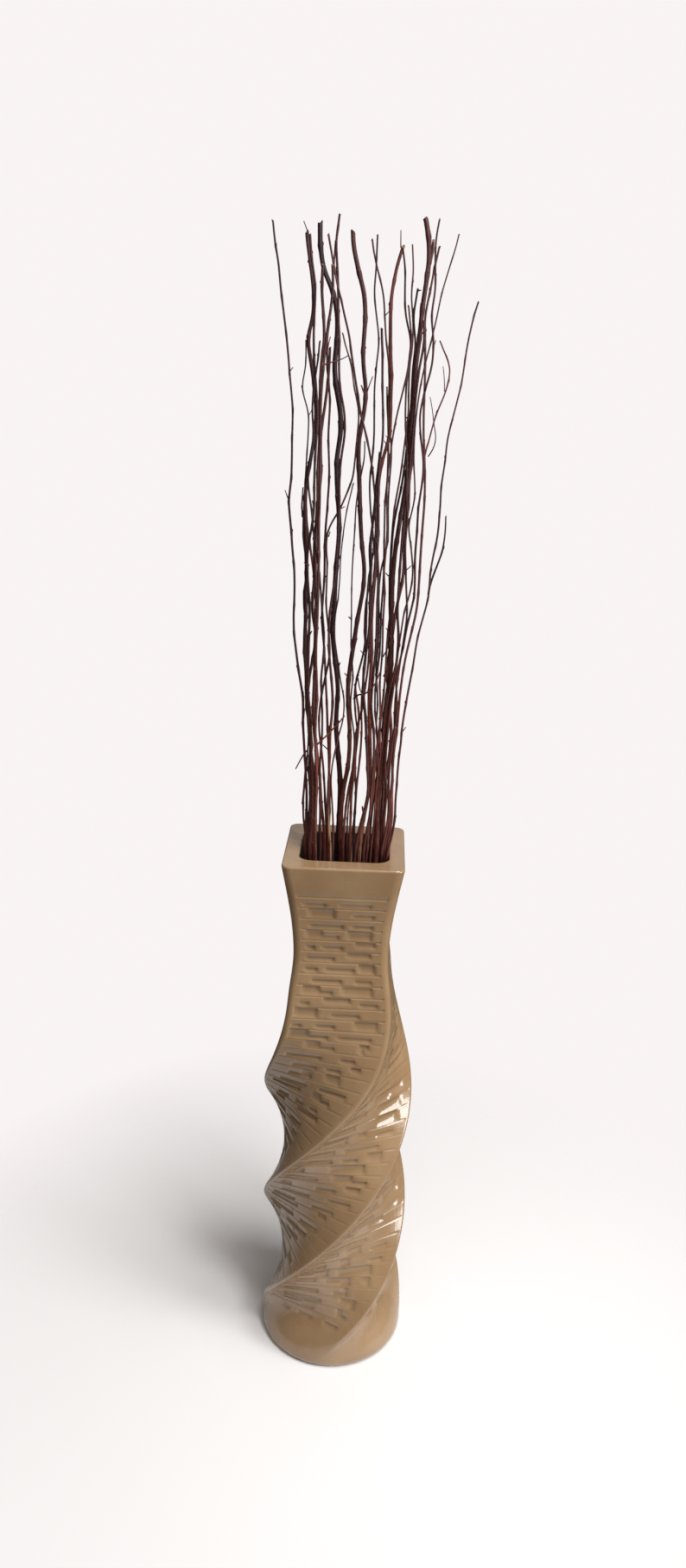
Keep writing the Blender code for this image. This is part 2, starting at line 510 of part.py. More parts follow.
def ease_apart(strands, levels, x, radii):
    """Move stems in depth only, until no two of different plants touch."""
    y = first_depths(strands, levels)
    count, top = x.shape
    plants = np.array([s.plant for s in strands])
    starts = np.array([s.start for s in strands])
    ends = np.array([int(np.searchsorted(levels, s.top - 1e-6)) for s in strands])
    first, second = np.triu_indices(count, 1)
    keep = plants[first] != plants[second]
    first, second = first[keep], second[keep]
    spans = np.arange(top - 1)
    alive = (spans[None, :] >= np.maximum(starts[first], starts[second])[:, None])
    alive &= (spans[None, :] < np.minimum(ends[first], ends[second])[:, None])
    reach = (radii[first] + radii[second]) * SECTION_MARGIN + FIT_GAP
    need = np.maximum(reach[:, :-1], reach[:, 1:])
    dx = x[second] - x[first]
    dx0, dx1 = dx[:, :-1], dx[:, 1:]
    # a pair keeps the same front-to-back order all the way up
    order = np.where(spots(strands)[second] > spots(strands)[first], 1.0, -1.0)[:, None]
    inside = levels <= VASE_HEIGHT + 0.025
    for round_no in range(900):
        dy = y[second] - y[first]
        dy0, dy1 = dy[:, :-1], dy[:, 1:]
        gx, gy = dx1 - dx0, dy1 - dy0
        t = -(dx0 * gx + dy0 * gy) / np.maximum(gx * gx + gy * gy, 1e-12)
        t = np.clip(t, 0.0, 1.0)
        cx, cy = dx0 + t * gx, dy0 + t * gy
        wanted = np.sqrt(np.maximum(need ** 2 - cx ** 2, 0.0))
        short = np.where(alive & (wanted > 0.0), np.maximum(wanted - order * cy, 0.0), 0.0)
        if round_no > 300 and short.max() < 1e-5:
            break
        push = 0.5 * order * short
        weight = (1.0 - t) ** 2 + t ** 2
        low, high = push * (1.0 - t) / weight, push * t / weight
        move = np.zeros_like(y)
        np.add.at(move[:, :-1], second, low)
        np.add.at(move[:, 1:], second, high)
        np.add.at(move[:, :-1], first, -low)
        np.add.at(move[:, 1:], first, -high)
        y += 0.55 * move
        if round_no < 700 and round_no % 3 == 0:
            middle = 0.5 * (y[:, :-2] + y[:, 2:])
            y[:, 1:-1] += 0.20 * (middle - y[:, 1:-1])
        y[:, inside] = np.clip(y[:, inside], -DEPTH_LIMIT + radii[:, inside],
                               DEPTH_LIMIT - radii[:, inside])
        for i, strand in enumerate(strands):
            if strand.parent is not None:
                parent = strands.index(strand.parent)
                y[i, :strand.start + 1] = y[parent, :strand.start + 1]
    return y


def stem_courses():
    """Every strand with its centre points and half thicknesses, foot to tip."""
    levels = level_heights()
    strands = all_strands(levels)
    x = np.array([sideways(s, levels) for s in strands])
    radii = np.array([thickness(s, levels) for s in strands])
    for i in range(len(strands)):
        limit = room_inside(levels, radii[i])
        x[i] = np.clip(x[i], -limit, limit)
    y = ease_apart(strands, levels, x, radii)
    courses = []
    for i, strand in enumerate(strands):
        last = int(np.searchsorted(levels, strand.top - 1e-6))
        heights = list(levels[strand.start:last]) + [strand.top]
        xs = np.interp(heights, levels, x[i])
        ys = np.interp(heights, levels, y[i])
        rs = np.interp(heights, levels, radii[i])
        points = [Vector(point) for point in zip(xs, ys, heights)]
        courses.append((strand, points, list(rs)))
    return courses


# ---- stems: solids -------------------------------------------------------------

def make_tube(name, points, radii, resolution, collection, material):
    """A tapering tube along the points, with closed ends."""
    curve = bpy.data.curves.new(name, "CURVE")
    curve.dimensions = "3D"
    curve.bevel_depth = MM
    curve.bevel_resolution = resolution
    curve.resolution_u = 1
    curve.render_resolution_u = 0
    curve.use_fill_caps = True
    spline = curve.splines.new("POLY")
    spline.points.add(len(points) - 1)
    for target, point, radius in zip(spline.points, points, radii):
        target.co = (point.x, point.y, point.z, 1.0)
        target.radius = radius / MM
    spline.use_smooth = True
    tube = bpy.data.objects.new(name, curve)
    tube.data.materials.append(material)
    collection.objects.link(tube)
    return tube


def as_mesh_object(tube, collection):
    """Turn a tube into a welded mesh object under the same name."""
    bpy.context.view_layer.update()
    graph = bpy.context.evaluated_depsgraph_get()
    mesh = bpy.data.meshes.new_from_object(tube.evaluated_get(graph))
    bm = bmesh.new()
    bm.from_mesh(mesh)
    bmesh.ops.remove_doubles(bm, verts=bm.verts, dist=0.00001)
    bmesh.ops.recalc_face_normals(bm, faces=bm.faces)
    bm.to_mesh(mesh)
    bm.free()
    name = tube.name
    matrix = tube.matrix_world.copy()
    bpy.data.objects.remove(tube, do_unlink=True)
    solid = bpy.data.objects.new(name, mesh)
    solid.matrix_world = matrix
    collection.objects.link(solid)
    return solid


def join_branch(stem, branch):
    """Grow a branch onto its stem with a Boolean union."""
    branch.hide_render = True
    branch.display_type = "WIRE"
    union = stem.modifiers.new("grown_" + branch.name, "BOOLEAN")
    union.operation = "UNION"
    union.solver = "EXACT"
    union.object = branch


def build_stems(collection, cutters, dark, red):
    number = 0
    stem_object = None
    for strand, points, radii in stem_courses():
        if strand.parent is None:
            number += 1
            thick = strand.base > THICK_STEM
            resolution = STEM_SIDES_THICK if thick else STEM_SIDES_THIN
            material = red if strand.stem.red else dark
            name = "willow_stem_%02d" % number
            stem_object = make_tube(name, points, radii, resolution, collection, material)
            if strand.stem.forks:
                stem_object = as_mesh_object(stem_object, collection)
        else:
            name = "branch_%02d_%d" % (number, len(stem_object.modifiers) + 1)
            branch = make_tube(name, points, radii, STEM_SIDES_THIN, cutters, dark)
            join_branch(stem_object, as_mesh_object(branch, cutters))


def main():
    clear_scene()
    parts = new_collection("willow_stems_in_vase")
    cutters = new_collection("branches_to_join")
    glaze = make_material("glaze", GLAZE, 0.35)
    dark = make_material("bark_dark", BARK_DARK, 0.65)
    red = make_material("bark_red", BARK_RED, 0.60)
    build_vase(parts, glaze)
    build_stems(parts, cutters, dark, red)


main()
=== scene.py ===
"""Dry willow stems standing in a tall ceramic vase with twisted, patterned faces.

The glazed vase and the thirty-six stems are each made again in full detail on
top of the fixed frame: the vase from its own profile, with the pressed rows of
bars on all four faces, and every stem along the line of its plain solid, with
bark, leaf scars, buds and side twigs.  Lengths are in metres, +Z is up and the
front of the vase faces -Y.
"""
import json
import logging
import math
import random
from dataclasses import dataclass, field
from enum import Enum, IntEnum

import bpy
import numpy as np
from mathutils import Matrix, Vector


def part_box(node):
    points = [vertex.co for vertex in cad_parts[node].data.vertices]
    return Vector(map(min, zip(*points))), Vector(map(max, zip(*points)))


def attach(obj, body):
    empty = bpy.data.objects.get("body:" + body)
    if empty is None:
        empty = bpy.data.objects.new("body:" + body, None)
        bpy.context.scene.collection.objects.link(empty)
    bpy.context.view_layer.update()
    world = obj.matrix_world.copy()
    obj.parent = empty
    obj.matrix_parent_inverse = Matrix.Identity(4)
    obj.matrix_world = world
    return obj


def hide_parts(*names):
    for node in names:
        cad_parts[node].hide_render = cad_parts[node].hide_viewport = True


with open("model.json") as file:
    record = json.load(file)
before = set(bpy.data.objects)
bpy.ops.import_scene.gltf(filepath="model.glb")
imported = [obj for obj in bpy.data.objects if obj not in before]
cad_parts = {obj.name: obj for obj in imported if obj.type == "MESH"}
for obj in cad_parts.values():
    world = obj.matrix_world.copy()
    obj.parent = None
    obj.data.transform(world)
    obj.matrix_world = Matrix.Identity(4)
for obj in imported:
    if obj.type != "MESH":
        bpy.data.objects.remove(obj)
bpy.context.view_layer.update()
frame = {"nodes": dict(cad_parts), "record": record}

LOG = logging.getLogger("willow")
MM = 0.001
BODY = "root"
RIM_HEIGHT = 0.600
COURSE_STRETCH = 0.0365   # per metre: twig lines are drawn out upwards, ever more towards the tips
COURSE_STILL = 0.123      # height above the rim that stays where it is
COURSE_WIDEN = 1.024      # twig lines are also drawn out sideways


# ---- curves and meshes -----------------------------------------------------------

def smoothstep(value: np.ndarray, low: float, high: float) -> np.ndarray:
    """Ease from 0 at low to 1 at high.

    Args:
        value: The numbers to ease.
        low: Where the rise starts.
        high: Where the rise ends.

    Returns:
        Numbers between 0 and 1.
    """
    t = np.clip((value - low) / (high - low), 0.0, 1.0)
    return t * t * (3.0 - 2.0 * t)


def smooth_curve(knots: tuple[float, ...], values: tuple[float, ...], at: np.ndarray) -> np.ndarray:
    """Read a smooth curve through stations.

    Args:
        knots: Rising positions of the stations.
        values: The value at each station.
        at: Positions to read the curve at.

    Returns:
        The curve's values.
    """
    z, v = np.array(knots), np.array(values)
    slope = np.gradient(v, z)
    at = np.clip(at, z[0], z[-1])
    k = np.clip(np.searchsorted(z, at, side="right") - 1, 0, len(z) - 2)
    span = z[k + 1] - z[k]
    t = (at - z[k]) / span
    rise = t * t * (3.0 - 2.0 * t)
    lead = t * (1.0 - t) ** 2 * span * slope[k]
    trail = t * t * (1.0 - t) * span * slope[k + 1]
    return v[k] * (1.0 - rise) + v[k + 1] * rise + lead - trail


def blurred(values: np.ndarray, spread: float) -> np.ndarray:
    """Smooth a run of numbers without moving its ends much.

    Args:
        values: The numbers, in order.
        spread: Width of the blur in steps.

    Returns:
        As many smoothed numbers.
    """
    reach = max(1, int(3.0 * spread))
    if len(values) < 3:
        return values
    weights = np.exp(-0.5 * (np.arange(-reach, reach + 1) / spread) ** 2)
    first = 2.0 * values[0] - values[1:reach + 1][::-1]
    last = 2.0 * values[-1] - values[-reach - 1:-1][::-1]
    padded = np.concatenate((first, values, last))
    return np.convolve(padded, weights / weights.sum(), mode="same")[len(first):len(first) + len(values)]


class MeshBin:
    """Points, faces and painted values gathered for one mesh."""

    def __init__(self, paints: tuple[str, ...]) -> None:
        """Start an empty bin.

        Args:
            paints: Names of the values that every point carries.
        """
        self.points: list[np.ndarray] = []
        self.faces: list[tuple[int, ...]] = []
        self.paints: dict[str, list[np.ndarray]] = {name: [] for name in paints}
        self.count = 0

    def add(self, points: np.ndarray, faces: list[tuple[int, ...]], **paints: object) -> None:
        """Add a patch of mesh.

        Args:
            points: The patch's points, one row each.
            faces: Faces by the patch's own point numbers.
            **paints: A number or an array of numbers for each painted value.
        """
        start = self.count
        self.points.append(points)
        self.faces.extend(tuple(start + i for i in face) for face in faces)
        for name, store in self.paints.items():
            store.append(np.broadcast_to(np.asarray(paints.get(name, 0.0), dtype=float), (len(points),)))
        self.count += len(points)

    def to_object(self, name: str) -> bpy.types.Object:
        """Make the object.

        Args:
            name: The piece's name.

        Returns:
            A smooth-shaded mesh object in the scene.
        """
        mesh = bpy.data.meshes.new(name)
        mesh.from_pydata(np.concatenate(self.points).tolist(), [], self.faces)
        for paint, parts in self.paints.items():
            layer = mesh.attributes.new(paint, "FLOAT", "POINT")
            layer.data.foreach_set("value", np.concatenate(parts).astype(np.float32))
        mesh.validate()
        mesh.shade_smooth()
        piece = bpy.data.objects.new(name, mesh)
        bpy.context.scene.collection.objects.link(piece)
        return piece


def band_faces(rings: int, around: int) -> list[tuple[int, ...]]:
    """Four-sided faces between neighbouring closed rings.

    Args:
        rings: How many rings there are.
        around: Points in each ring.

    Returns:
        The faces, by point number.
    """
    faces = []
    for low in range(0, (rings - 1) * around, around):
        for i in range(around):
            j = (i + 1) % around
            faces.append((low + i, low + j, low + around + j, low + around + i))
    return faces


def reading(line: np.ndarray, radii: np.ndarray, height: float) -> tuple[float, float, float]:
    """Where a stem is at one height.

    Args:
        line: Its centre points, rising.
        radii: Its half thicknesses.
        height: The height.

    Returns:
        Sideways place, depth and half thickness.
    """
    x, y, radius = (float(np.interp(height, line[:, 2], v)) for v in (line[:, 0], line[:, 1], radii))
    return x, y, radius


# ---- finishes --------------------------------------------------------------------

class Wiring:
    """The shader nodes of one material."""

    def __init__(self, name: str) -> None:
        """Make a material with an empty Principled shader.

        Args:
            name: The material's name.
        """
        self.material = bpy.data.materials.new(name)
        self.material.use_nodes = True
        self.tree = self.material.node_tree
        self.shader = self.tree.nodes["Principled BSDF"]

    def node(self, kind: str, **settings: object) -> bpy.types.Node:
        """Add a node.

        Args:
            kind: The node's Blender type.
            **settings: Properties to set on it.

        Returns:
            The new node.
        """
        made = self.tree.nodes.new(kind)
        for key, value in settings.items():
            setattr(made, key, value)
        return made

    def join(self, source: bpy.types.NodeSocket, target: bpy.types.NodeSocket) -> None:
        """Link one socket to another.

        Args:
            source: The output.
            target: The input.
        """
        self.tree.links.new(source, target)

    def place(self, stretch: tuple[float, float, float]) -> bpy.types.NodeSocket:
        """Object coordinates, stretched along each axis.

        Args:
            stretch: Factors for x, y and z.

        Returns:
            The coordinate socket.
        """
        coordinates = self.node("ShaderNodeTexCoord")
        mapping = self.node("ShaderNodeMapping")
        mapping.inputs["Scale"].default_value = stretch
        self.join(coordinates.outputs["Object"], mapping.inputs["Vector"])
        return mapping.outputs["Vector"]

    def noise(self, where: bpy.types.NodeSocket, scale: float, detail: float = 3.0,
              rough: float = 0.55) -> bpy.types.NodeSocket:
        """Cloudy noise.

        Args:
            where: Coordinates.
            scale: How fine it is.
            detail: Number of finer layers.
            rough: Strength of the finer layers.

        Returns:
            The noise value.
        """
        made = self.node("ShaderNodeTexNoise")
        made.inputs["Scale"].default_value = scale
        made.inputs["Detail"].default_value = detail
        made.inputs["Roughness"].default_value = rough
        self.join(where, made.inputs["Vector"])
        return made.outputs["Fac"]

    def cells(self, where: bpy.types.NodeSocket, scale: float) -> bpy.types.Node:
        """Scattered cells, for specks and scars.

        Args:
            where: Coordinates.
            scale: Cells per metre.

        Returns:
            The cell node, with Distance and Color outputs.
        """
        made = self.node("ShaderNodeTexVoronoi")
        made.inputs["Scale"].default_value = scale
        self.join(where, made.inputs["Vector"])
        return made

    def paint(self, name: str) -> bpy.types.NodeSocket:
        """A value painted on the mesh's points.

        Args:
            name: Name of the painted value.

        Returns:
            The value.
        """
        return self.node("ShaderNodeAttribute", attribute_name=name).outputs["Fac"]

    def span(self, value: bpy.types.NodeSocket, source: tuple[float, float],
             target: tuple[float, float] = (0.0, 1.0)) -> bpy.types.NodeSocket:
        """Carry a value from one range to another.

        Args:
            value: The value.
            source: Its range.
            target: The range to carry it to, where it is also held.

        Returns:
            The carried value.
        """
        made = self.node("ShaderNodeMapRange")
        for key, number in zip(("From Min", "From Max", "To Min", "To Max"), source + target):
            made.inputs[key].default_value = number
        self.join(value, made.inputs["Value"])
        return made.outputs["Result"]

    def sum_of(self, operation: str, first: object, second: object) -> bpy.types.NodeSocket:
        """Reckon with two values.

        Args:
            operation: Name of the Math node's operation.
            first: A socket or a number.
            second: A socket or a number.

        Returns:
            The result.
        """
        made = self.node("ShaderNodeMath", operation=operation)
        for socket, value in zip(made.inputs, (first, second)):
            if isinstance(value, bpy.types.NodeSocket):
                self.join(value, socket)
            else:
                socket.default_value = value
        return made.outputs["Value"]

    def blend(self, share: object, first: object, second: object,
              mode: str = "MIX") -> bpy.types.NodeSocket:
        """Mix two colours.

        Args:
            share: How much of the second colour, as a socket or a number.
            first: A socket or a colour.
            second: A socket or a colour.
            mode: Name of the blend mode.

        Returns:
            The mixed colour.
        """
        made = self.node("ShaderNodeMix", data_type="RGBA", blend_type=mode)
        for socket, value in ((made.inputs[0], share), (made.inputs[6], first), (made.inputs[7], second)):
            if isinstance(value, bpy.types.NodeSocket):
                self.join(value, socket)
            elif isinstance(value, tuple):
                socket.default_value = value + (1.0,)
            else:
                socket.default_value = value
        return made.outputs[2]

    def bump(self, height: bpy.types.NodeSocket, depth: float, strength: float,
             under: bpy.types.NodeSocket | None = None) -> bpy.types.NodeSocket:
        """Fine relief.

        Args:
            height: The height value.
            depth: Its depth in metres.
            strength: How much of it shows.
            under: Relief that this one lies on.

        Returns:
            The bent normal.
        """
        made = self.node("ShaderNodeBump")
        made.inputs["Distance"].default_value = depth
        made.inputs["Strength"].default_value = strength
        self.join(height, made.inputs["Height"])
        if under is not None:
            self.join(under, made.inputs["Normal"])
        return made.outputs["Normal"]

    def finish(self, colour: bpy.types.NodeSocket, roughness: bpy.types.NodeSocket,
               normal: bpy.types.NodeSocket) -> bpy.types.Material:
        """Join the shader up.

        Args:
            colour: Base colour.
            roughness: Roughness.
            normal: Bent normal.

        Returns:
            The finished material.
        """
        self.join(colour, self.shader.inputs["Base Color"])
        self.join(roughness, self.shader.inputs["Roughness"])
        self.join(normal, self.shader.inputs["Normal"])
        return self.material


@dataclass(frozen=True)
class GlazeFinish:
    """Taupe stoneware glaze: soft gloss, faint clouding, iron specks and pinholes, with painted shade in the
    pressed bars and inside the mouth.
    """

    light: tuple[float, float, float] = (0.268, 0.170, 0.090)
    deep: tuple[float, float, float] = (0.230, 0.140, 0.071)
    # darker glaze colour used as painted shade in the pressed bars' recesses
    recess_shade: tuple[float, float, float] = (0.190, 0.117, 0.057)
    # near-black: painted shade for the inside of the mouth, and also the colour of the pinholes
    inside: tuple[float, float, float] = (0.010, 0.006, 0.007)
    clay: tuple[float, float, float] = (0.52, 0.40, 0.27)
    speck: tuple[float, float, float] = (0.080, 0.052, 0.034)

    def make(self) -> bpy.types.Material:
        """Build the glaze.

        Returns:
            The material.
        """
        w = Wiring("taupe_glaze")
        even = w.place((1.0, 1.0, 1.0))
        cloud = w.span(w.noise(even, 22.0, 4.0), (0.36, 0.66))
        colour = w.blend(cloud, self.deep, self.light)
        # painted shade: the glaze darkens towards this colour where the bars are pressed deepest
        colour = w.blend(w.span(w.paint("recess"), (0.0, 1.0), (0.0, 0.12)), colour, self.recess_shade)
        specks = w.cells(even, 260.0)
        dot = w.span(specks.outputs["Distance"], (0.10, 0.05))
        chance = w.span(specks.outputs["Color"], (0.72, 0.78))
        speckled = w.sum_of("MULTIPLY", dot, w.sum_of("MULTIPLY", chance, 0.35))
        colour = w.blend(speckled, colour, self.speck)
        holes = w.cells(even, 48.0)
        hole = w.sum_of("MULTIPLY", w.span(holes.outputs["Distance"], (0.040, 0.022)),
                        w.span(holes.outputs["Color"], (0.80, 0.84)))
        colour = w.blend(hole, colour, self.inside)
        # painted shade: the inside of the mouth goes near-black a little below the lip
        colour = w.blend(w.paint("inside"), colour, self.inside)
        grit = w.noise(even, 1400.0, 2.0)
        clay = w.blend(w.span(grit, (0.35, 0.7)), self.clay, self.deep)
        colour = w.blend(w.paint("bare"), colour, clay)
        rough = w.span(w.noise(even, 60.0, 3.0), (0.3, 0.7), (0.20, 0.29))
        rough = w.sum_of("MAXIMUM", rough, w.span(w.paint("bare"), (0.0, 1.0), (0.0, 0.85)))
        rough = w.sum_of("MAXIMUM", rough, w.span(w.paint("inside"), (0.0, 1.0), (0.0, 0.7)))
        w.shader.inputs["Coat Weight"].default_value = 0.50
        w.shader.inputs["Coat Roughness"].default_value = 0.08
        ripple = w.bump(w.noise(even, 95.0, 2.0), 0.0012, 0.10)
        pits = w.bump(w.sum_of("SUBTRACT", 1.0, hole), 0.0006, 0.8, ripple)
        return w.finish(colour, rough, pits)


@dataclass(frozen=True)
class BarkFinish:
    """Dry willow bark: dark red-brown, streaked along the stem, with pale pores."""

    name: str
    dark: tuple[float, float, float]
    warm: tuple[float, float, float]
    scraped: tuple[float, float, float] = (0.36, 0.20, 0.11)
    cut: tuple[float, float, float] = (0.30, 0.19, 0.12)

    def make(self) -> bpy.types.Material:
        """Build the bark.

        Returns:
            The material.
        """
        w = Wiring(self.name)
        along = w.place((1.0, 1.0, 0.10))
        across = w.place((1.0, 1.0, 3.2))
        even = w.place((1.0, 1.0, 0.35))
        grain = w.noise(along, 1500.0, 4.0, 0.6)
        patch = w.noise(even, 70.0, 3.0)
        share = w.sum_of("MULTIPLY", w.paint("warmth"), w.span(patch, (0.30, 0.68), (0.35, 1.25)))
        colour = w.blend(share, self.dark, self.warm)
        streak = w.sum_of("MULTIPLY", w.paint("bare"), w.span(w.noise(along, 420.0, 2.0), (0.42, 0.58)))
        colour = w.blend(streak, colour, self.scraped)
        pores = w.cells(across, 430.0)
        pore = w.sum_of("MULTIPLY", w.span(pores.outputs["Distance"], (0.26, 0.14)),
                        w.span(pores.outputs["Color"], (0.70, 0.76)))
        colour = w.blend(w.sum_of("MULTIPLY", pore, 0.32), colour, self.scraped)
        colour = w.blend(w.paint("cut"), colour, self.cut)
        tone = w.span(grain, (0.28, 0.72), (0.42, 1.45))
        shade = w.node("ShaderNodeCombineColor")
        for key in ("Red", "Green", "Blue"):
            w.join(tone, shade.inputs[key])
        colour = w.blend(1.0, colour, shade.outputs["Color"], "MULTIPLY")
        rough = w.span(patch, (0.3, 0.7), (0.42, 0.66))
        w.shader.inputs["Specular IOR Level"].default_value = 0.28
        furrows = w.bump(grain, 0.0004, 0.55)
        scars = w.bump(pore, 0.0003, 0.5, furrows)
        return w.finish(colour, rough, scars)


@dataclass(frozen=True)
class FloorFinish:
    """Pale studio floor that fades out into the backdrop."""

    tint: tuple[float, float, float] = (0.74, 0.72, 0.715)
    fade: tuple[float, float] = (0.16, 0.60)

    def make(self) -> bpy.types.Material:
        """Build the floor's paint.

        Returns:
            The material.
        """
        w = Wiring("studio_floor")
        even = w.place((1.0, 1.0, 1.0))
        worn = w.span(w.noise(even, 2.5, 3.0), (0.3, 0.7))
        colour = w.blend(worn, self.tint, tuple(c * 0.985 for c in self.tint))
        grain = w.bump(w.noise(even, 260.0, 2.0), 0.0004, 0.10)
        rough = w.span(w.noise(even, 9.0, 2.0), (0.3, 0.7), (0.62, 0.72))
        material = w.finish(colour, rough, grain)
        reach = w.node("ShaderNodeVectorMath", operation="LENGTH")
        w.join(even, reach.inputs[0])
        gone = w.span(reach.outputs["Value"], self.fade)
        clear = w.node("ShaderNodeBsdfTransparent")
        mix = w.node("ShaderNodeMixShader")
        w.join(gone, mix.inputs[0])
        w.join(w.shader.outputs["BSDF"], mix.inputs[1])
        w.join(clear.outputs["BSDF"], mix.inputs[2])
        w.join(mix.outputs["Shader"], w.tree.nodes["Material Output"].inputs["Surface"])
        return material


# ---- vase ------------------------------------------------------------------------

class Bar(Enum):
    """How a pressed bar fills its row: the bands it takes in its left and right part."""

    FULL = ((True, True), (True, True))
    UPPER = ((True, False), (True, False))
    LOWER = ((False, True), (False, True))
    DROP_RIGHT = ((True, True), (False, True))
    DROP_LEFT = ((False, True), (True, True))
    RISE_RIGHT = ((True, True), (True, False))
    RISE_LEFT = ((True, False), (True, True))


@dataclass(frozen=True)
class Pressed:
    """One pressed bar: first and last cell of the row that it takes, and its kind."""

    first: int
    last: int
    kind: Bar = Bar.LOWER


F, U, DR = Bar.FULL, Bar.UPPER, Bar.DROP_RIGHT
FRONT_ROWS: tuple[tuple[Pressed, ...], ...] = (
    (Pressed(1, 5), Pressed(9, 15)),
    (Pressed(2, 7, F), Pressed(12, 16)),
    (Pressed(2, 9), Pressed(12, 16)),
    (Pressed(1, 8, DR), Pressed(11, 16, F)),
    (Pressed(1, 2), Pressed(5, 9), Pressed(13, 17, U)),
    (Pressed(1, 7), Pressed(11, 16, U)),
    (Pressed(1, 3), Pressed(6, 12), Pressed(14, 17, F)),
    (Pressed(3, 9), Pressed(13, 16)),
    (Pressed(1, 7, DR), Pressed(10, 16, F)),
    (Pressed(1, 2), Pressed(6, 11, U), Pressed(14, 17)),
    (Pressed(0, 4, F), Pressed(8, 13)),
    (Pressed(0, 1), Pressed(5, 8), Pressed(13, 17, F)),
    (Pressed(0, 7, DR), Pressed(10, 16)),
)


class Column(IntEnum):
    """Where a line of points runs up the vase."""

    MARGIN = 0
    JOINT = 1
    RIDGE = 2


@dataclass
class TwistedVase:
    """The glazed vase: square rim and neck, twisting patterned faces, round foot."""

    node: str = "vase"
    height: float = RIM_HEIGHT
    foot_radius: float = 0.0805
    foot_edge: float = 0.008
    foot_blend: tuple[float, float] = (0.008, 0.060)
    rim_round: float = 0.0025
    lip_round: float = 0.0018
    mouth_half: float = 0.0446
    mouth_squeeze: float = 0.10
    mouth_corner: float = 0.014
    inner_corner: float = 0.006
    mouth_shade: tuple[float, float] = (0.0004, 0.0022)
    wall: float = 0.0062
    foot_wall_share: float = 1.4
    ring_shares: tuple[float, float] = (0.90, 0.93)
    ring_rise: float = 0.0018
    floor_top: float = 0.0095
    rim_depth: float = 0.110
    ridge_round: tuple[float, float] = (0.0042, 0.0085)
    ridge_blend: tuple[float, float] = (0.36, 0.58)
    body_heights: tuple[float, ...] = (0.0, 0.05, 0.16, 0.32, 0.36, 0.40, 0.455, 0.495, 0.533,
                                       0.5634, 0.585, 0.600)
    body_halves: tuple[float, ...] = (0.0568, 0.0588, 0.0580, 0.0583, 0.0577, 0.0564, 0.0522,
                                      0.0482, 0.0504, 0.0547, 0.0583, 0.0608)
    twist_rate: float = math.radians(610.0)
    twist_start: float = 0.444
    twist_full: float = 0.338
    rows: int = 42
    rows_top: float = 0.5662
    row_pitch: float = 0.0124
    joints: int = 20
    field_edge: float = 0.94
    face_margin: float = 0.985
    joint_width: float = 0.0009
    line_depth: float = 0.0011
    faint_lines: float = 0.6
    faint_bars: float = 0.96
    bar_depth: tuple[float, float] = (0.0013, 0.0018)
    bar_starts: tuple[int, ...] = (1, 1, 2, 3, 4)
    bar_lengths: tuple[int, ...] = (2, 3, 4, 5, 5, 6, 6, 7, 8)
    bar_gaps: tuple[int, ...] = (2, 2, 3, 4, 5)
    bar_weights: tuple[int, ...] = (4, 3, 8, 3, 2, 1, 1)
    arc_steps: int = 6
    seed: int = 7
    row_shares: tuple[float, ...] = (0.0, 0.06, 0.13, 0.46, 0.53, 0.82, 0.90)
    band_lines: tuple[tuple[int, int], ...] = ((2, 3), (4, 5))
    glaze: GlazeFinish = field(default_factory=GlazeFinish)

    def __post_init__(self) -> None:
        """Take the size from the frame and lay out the columns round one ring."""
        low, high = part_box(self.node)
        self.scale = (high.z - low.z) / self.height
        half_joint = 0.5 * self.joint_width
        columns = [(-1.0, 0.0, 0.0, Column.MARGIN), (-self.face_margin, 0.0, 0.0, Column.MARGIN)]
        for share in np.linspace(-self.field_edge, self.field_edge, self.joints):
            columns += [(share, side * half_joint, 0.0, Column.JOINT) for side in (-1.0, 1.0)]
        columns += [(self.face_margin, 0.0, 0.0, Column.MARGIN), (1.0, 0.0, 0.0, Column.MARGIN)]
        columns += [(0.0, 0.0, 0.5 * math.pi * step / self.arc_steps, Column.RIDGE)
                    for step in range(1, self.arc_steps)]
        self.share, self.offset, self.arc, self.column = np.tile(np.array(columns).T, 4)
        self.turn = np.repeat((np.arange(4) - 1) * 0.5 * math.pi, len(columns))
        self.around = len(self.share)

    def half(self, heights: np.ndarray) -> np.ndarray:
        """Half width of the square body.

        Args:
            heights: Heights above the floor.

        Returns:
            The half width at each height.
        """
        return smooth_curve(self.body_heights, self.body_halves, heights)

    def twist(self, heights: np.ndarray) -> np.ndarray:
        """How far the section has turned at each height, counted from the neck down.

        Args:
            heights: Heights above the floor.

        Returns:
            Angles in radians.
        """
        ease = self.twist_start - self.twist_full
        easing = 0.5 * self.twist_rate * (self.twist_start - heights) ** 2 / ease
        steady = self.twist_rate * (0.5 * ease + self.twist_full - heights)
        turned = np.where(heights >= self.twist_full, easing, steady)
        return np.where(heights >= self.twist_start, 0.0, turned)

    def outline(self, half: np.ndarray, corner: np.ndarray, turned: np.ndarray,
                sunk: np.ndarray | float = 0.0,
                slide: np.ndarray | float = 0.0) -> tuple[np.ndarray, np.ndarray]:
        """Rounded square sections.

        Args:
            half: Half width of each section.
            corner: Corner radius of each section.
            turned: Angle that each section is turned by.
            sunk: How far each point is pressed in.
            slide: How far the ends of the bars are moved along each face.

        Returns:
            The x and y of every point, a row for each section.
        """
        half, corner, turned = half[:, None], corner[:, None], turned[:, None]
        flat = half - corner
        rounded = self.column == Column.RIDGE
        out = np.where(rounded, flat + corner * np.cos(self.arc), half) - sunk
        moved = np.where(self.column == Column.JOINT, slide * (1.0 - self.share ** 4), 0.0)
        side = np.where(rounded, flat + corner * np.sin(self.arc), self.share * flat + self.offset + moved)
        angle = self.turn - turned
        return out * np.cos(angle) - side * np.sin(angle), out * np.sin(angle) + side * np.cos(angle)

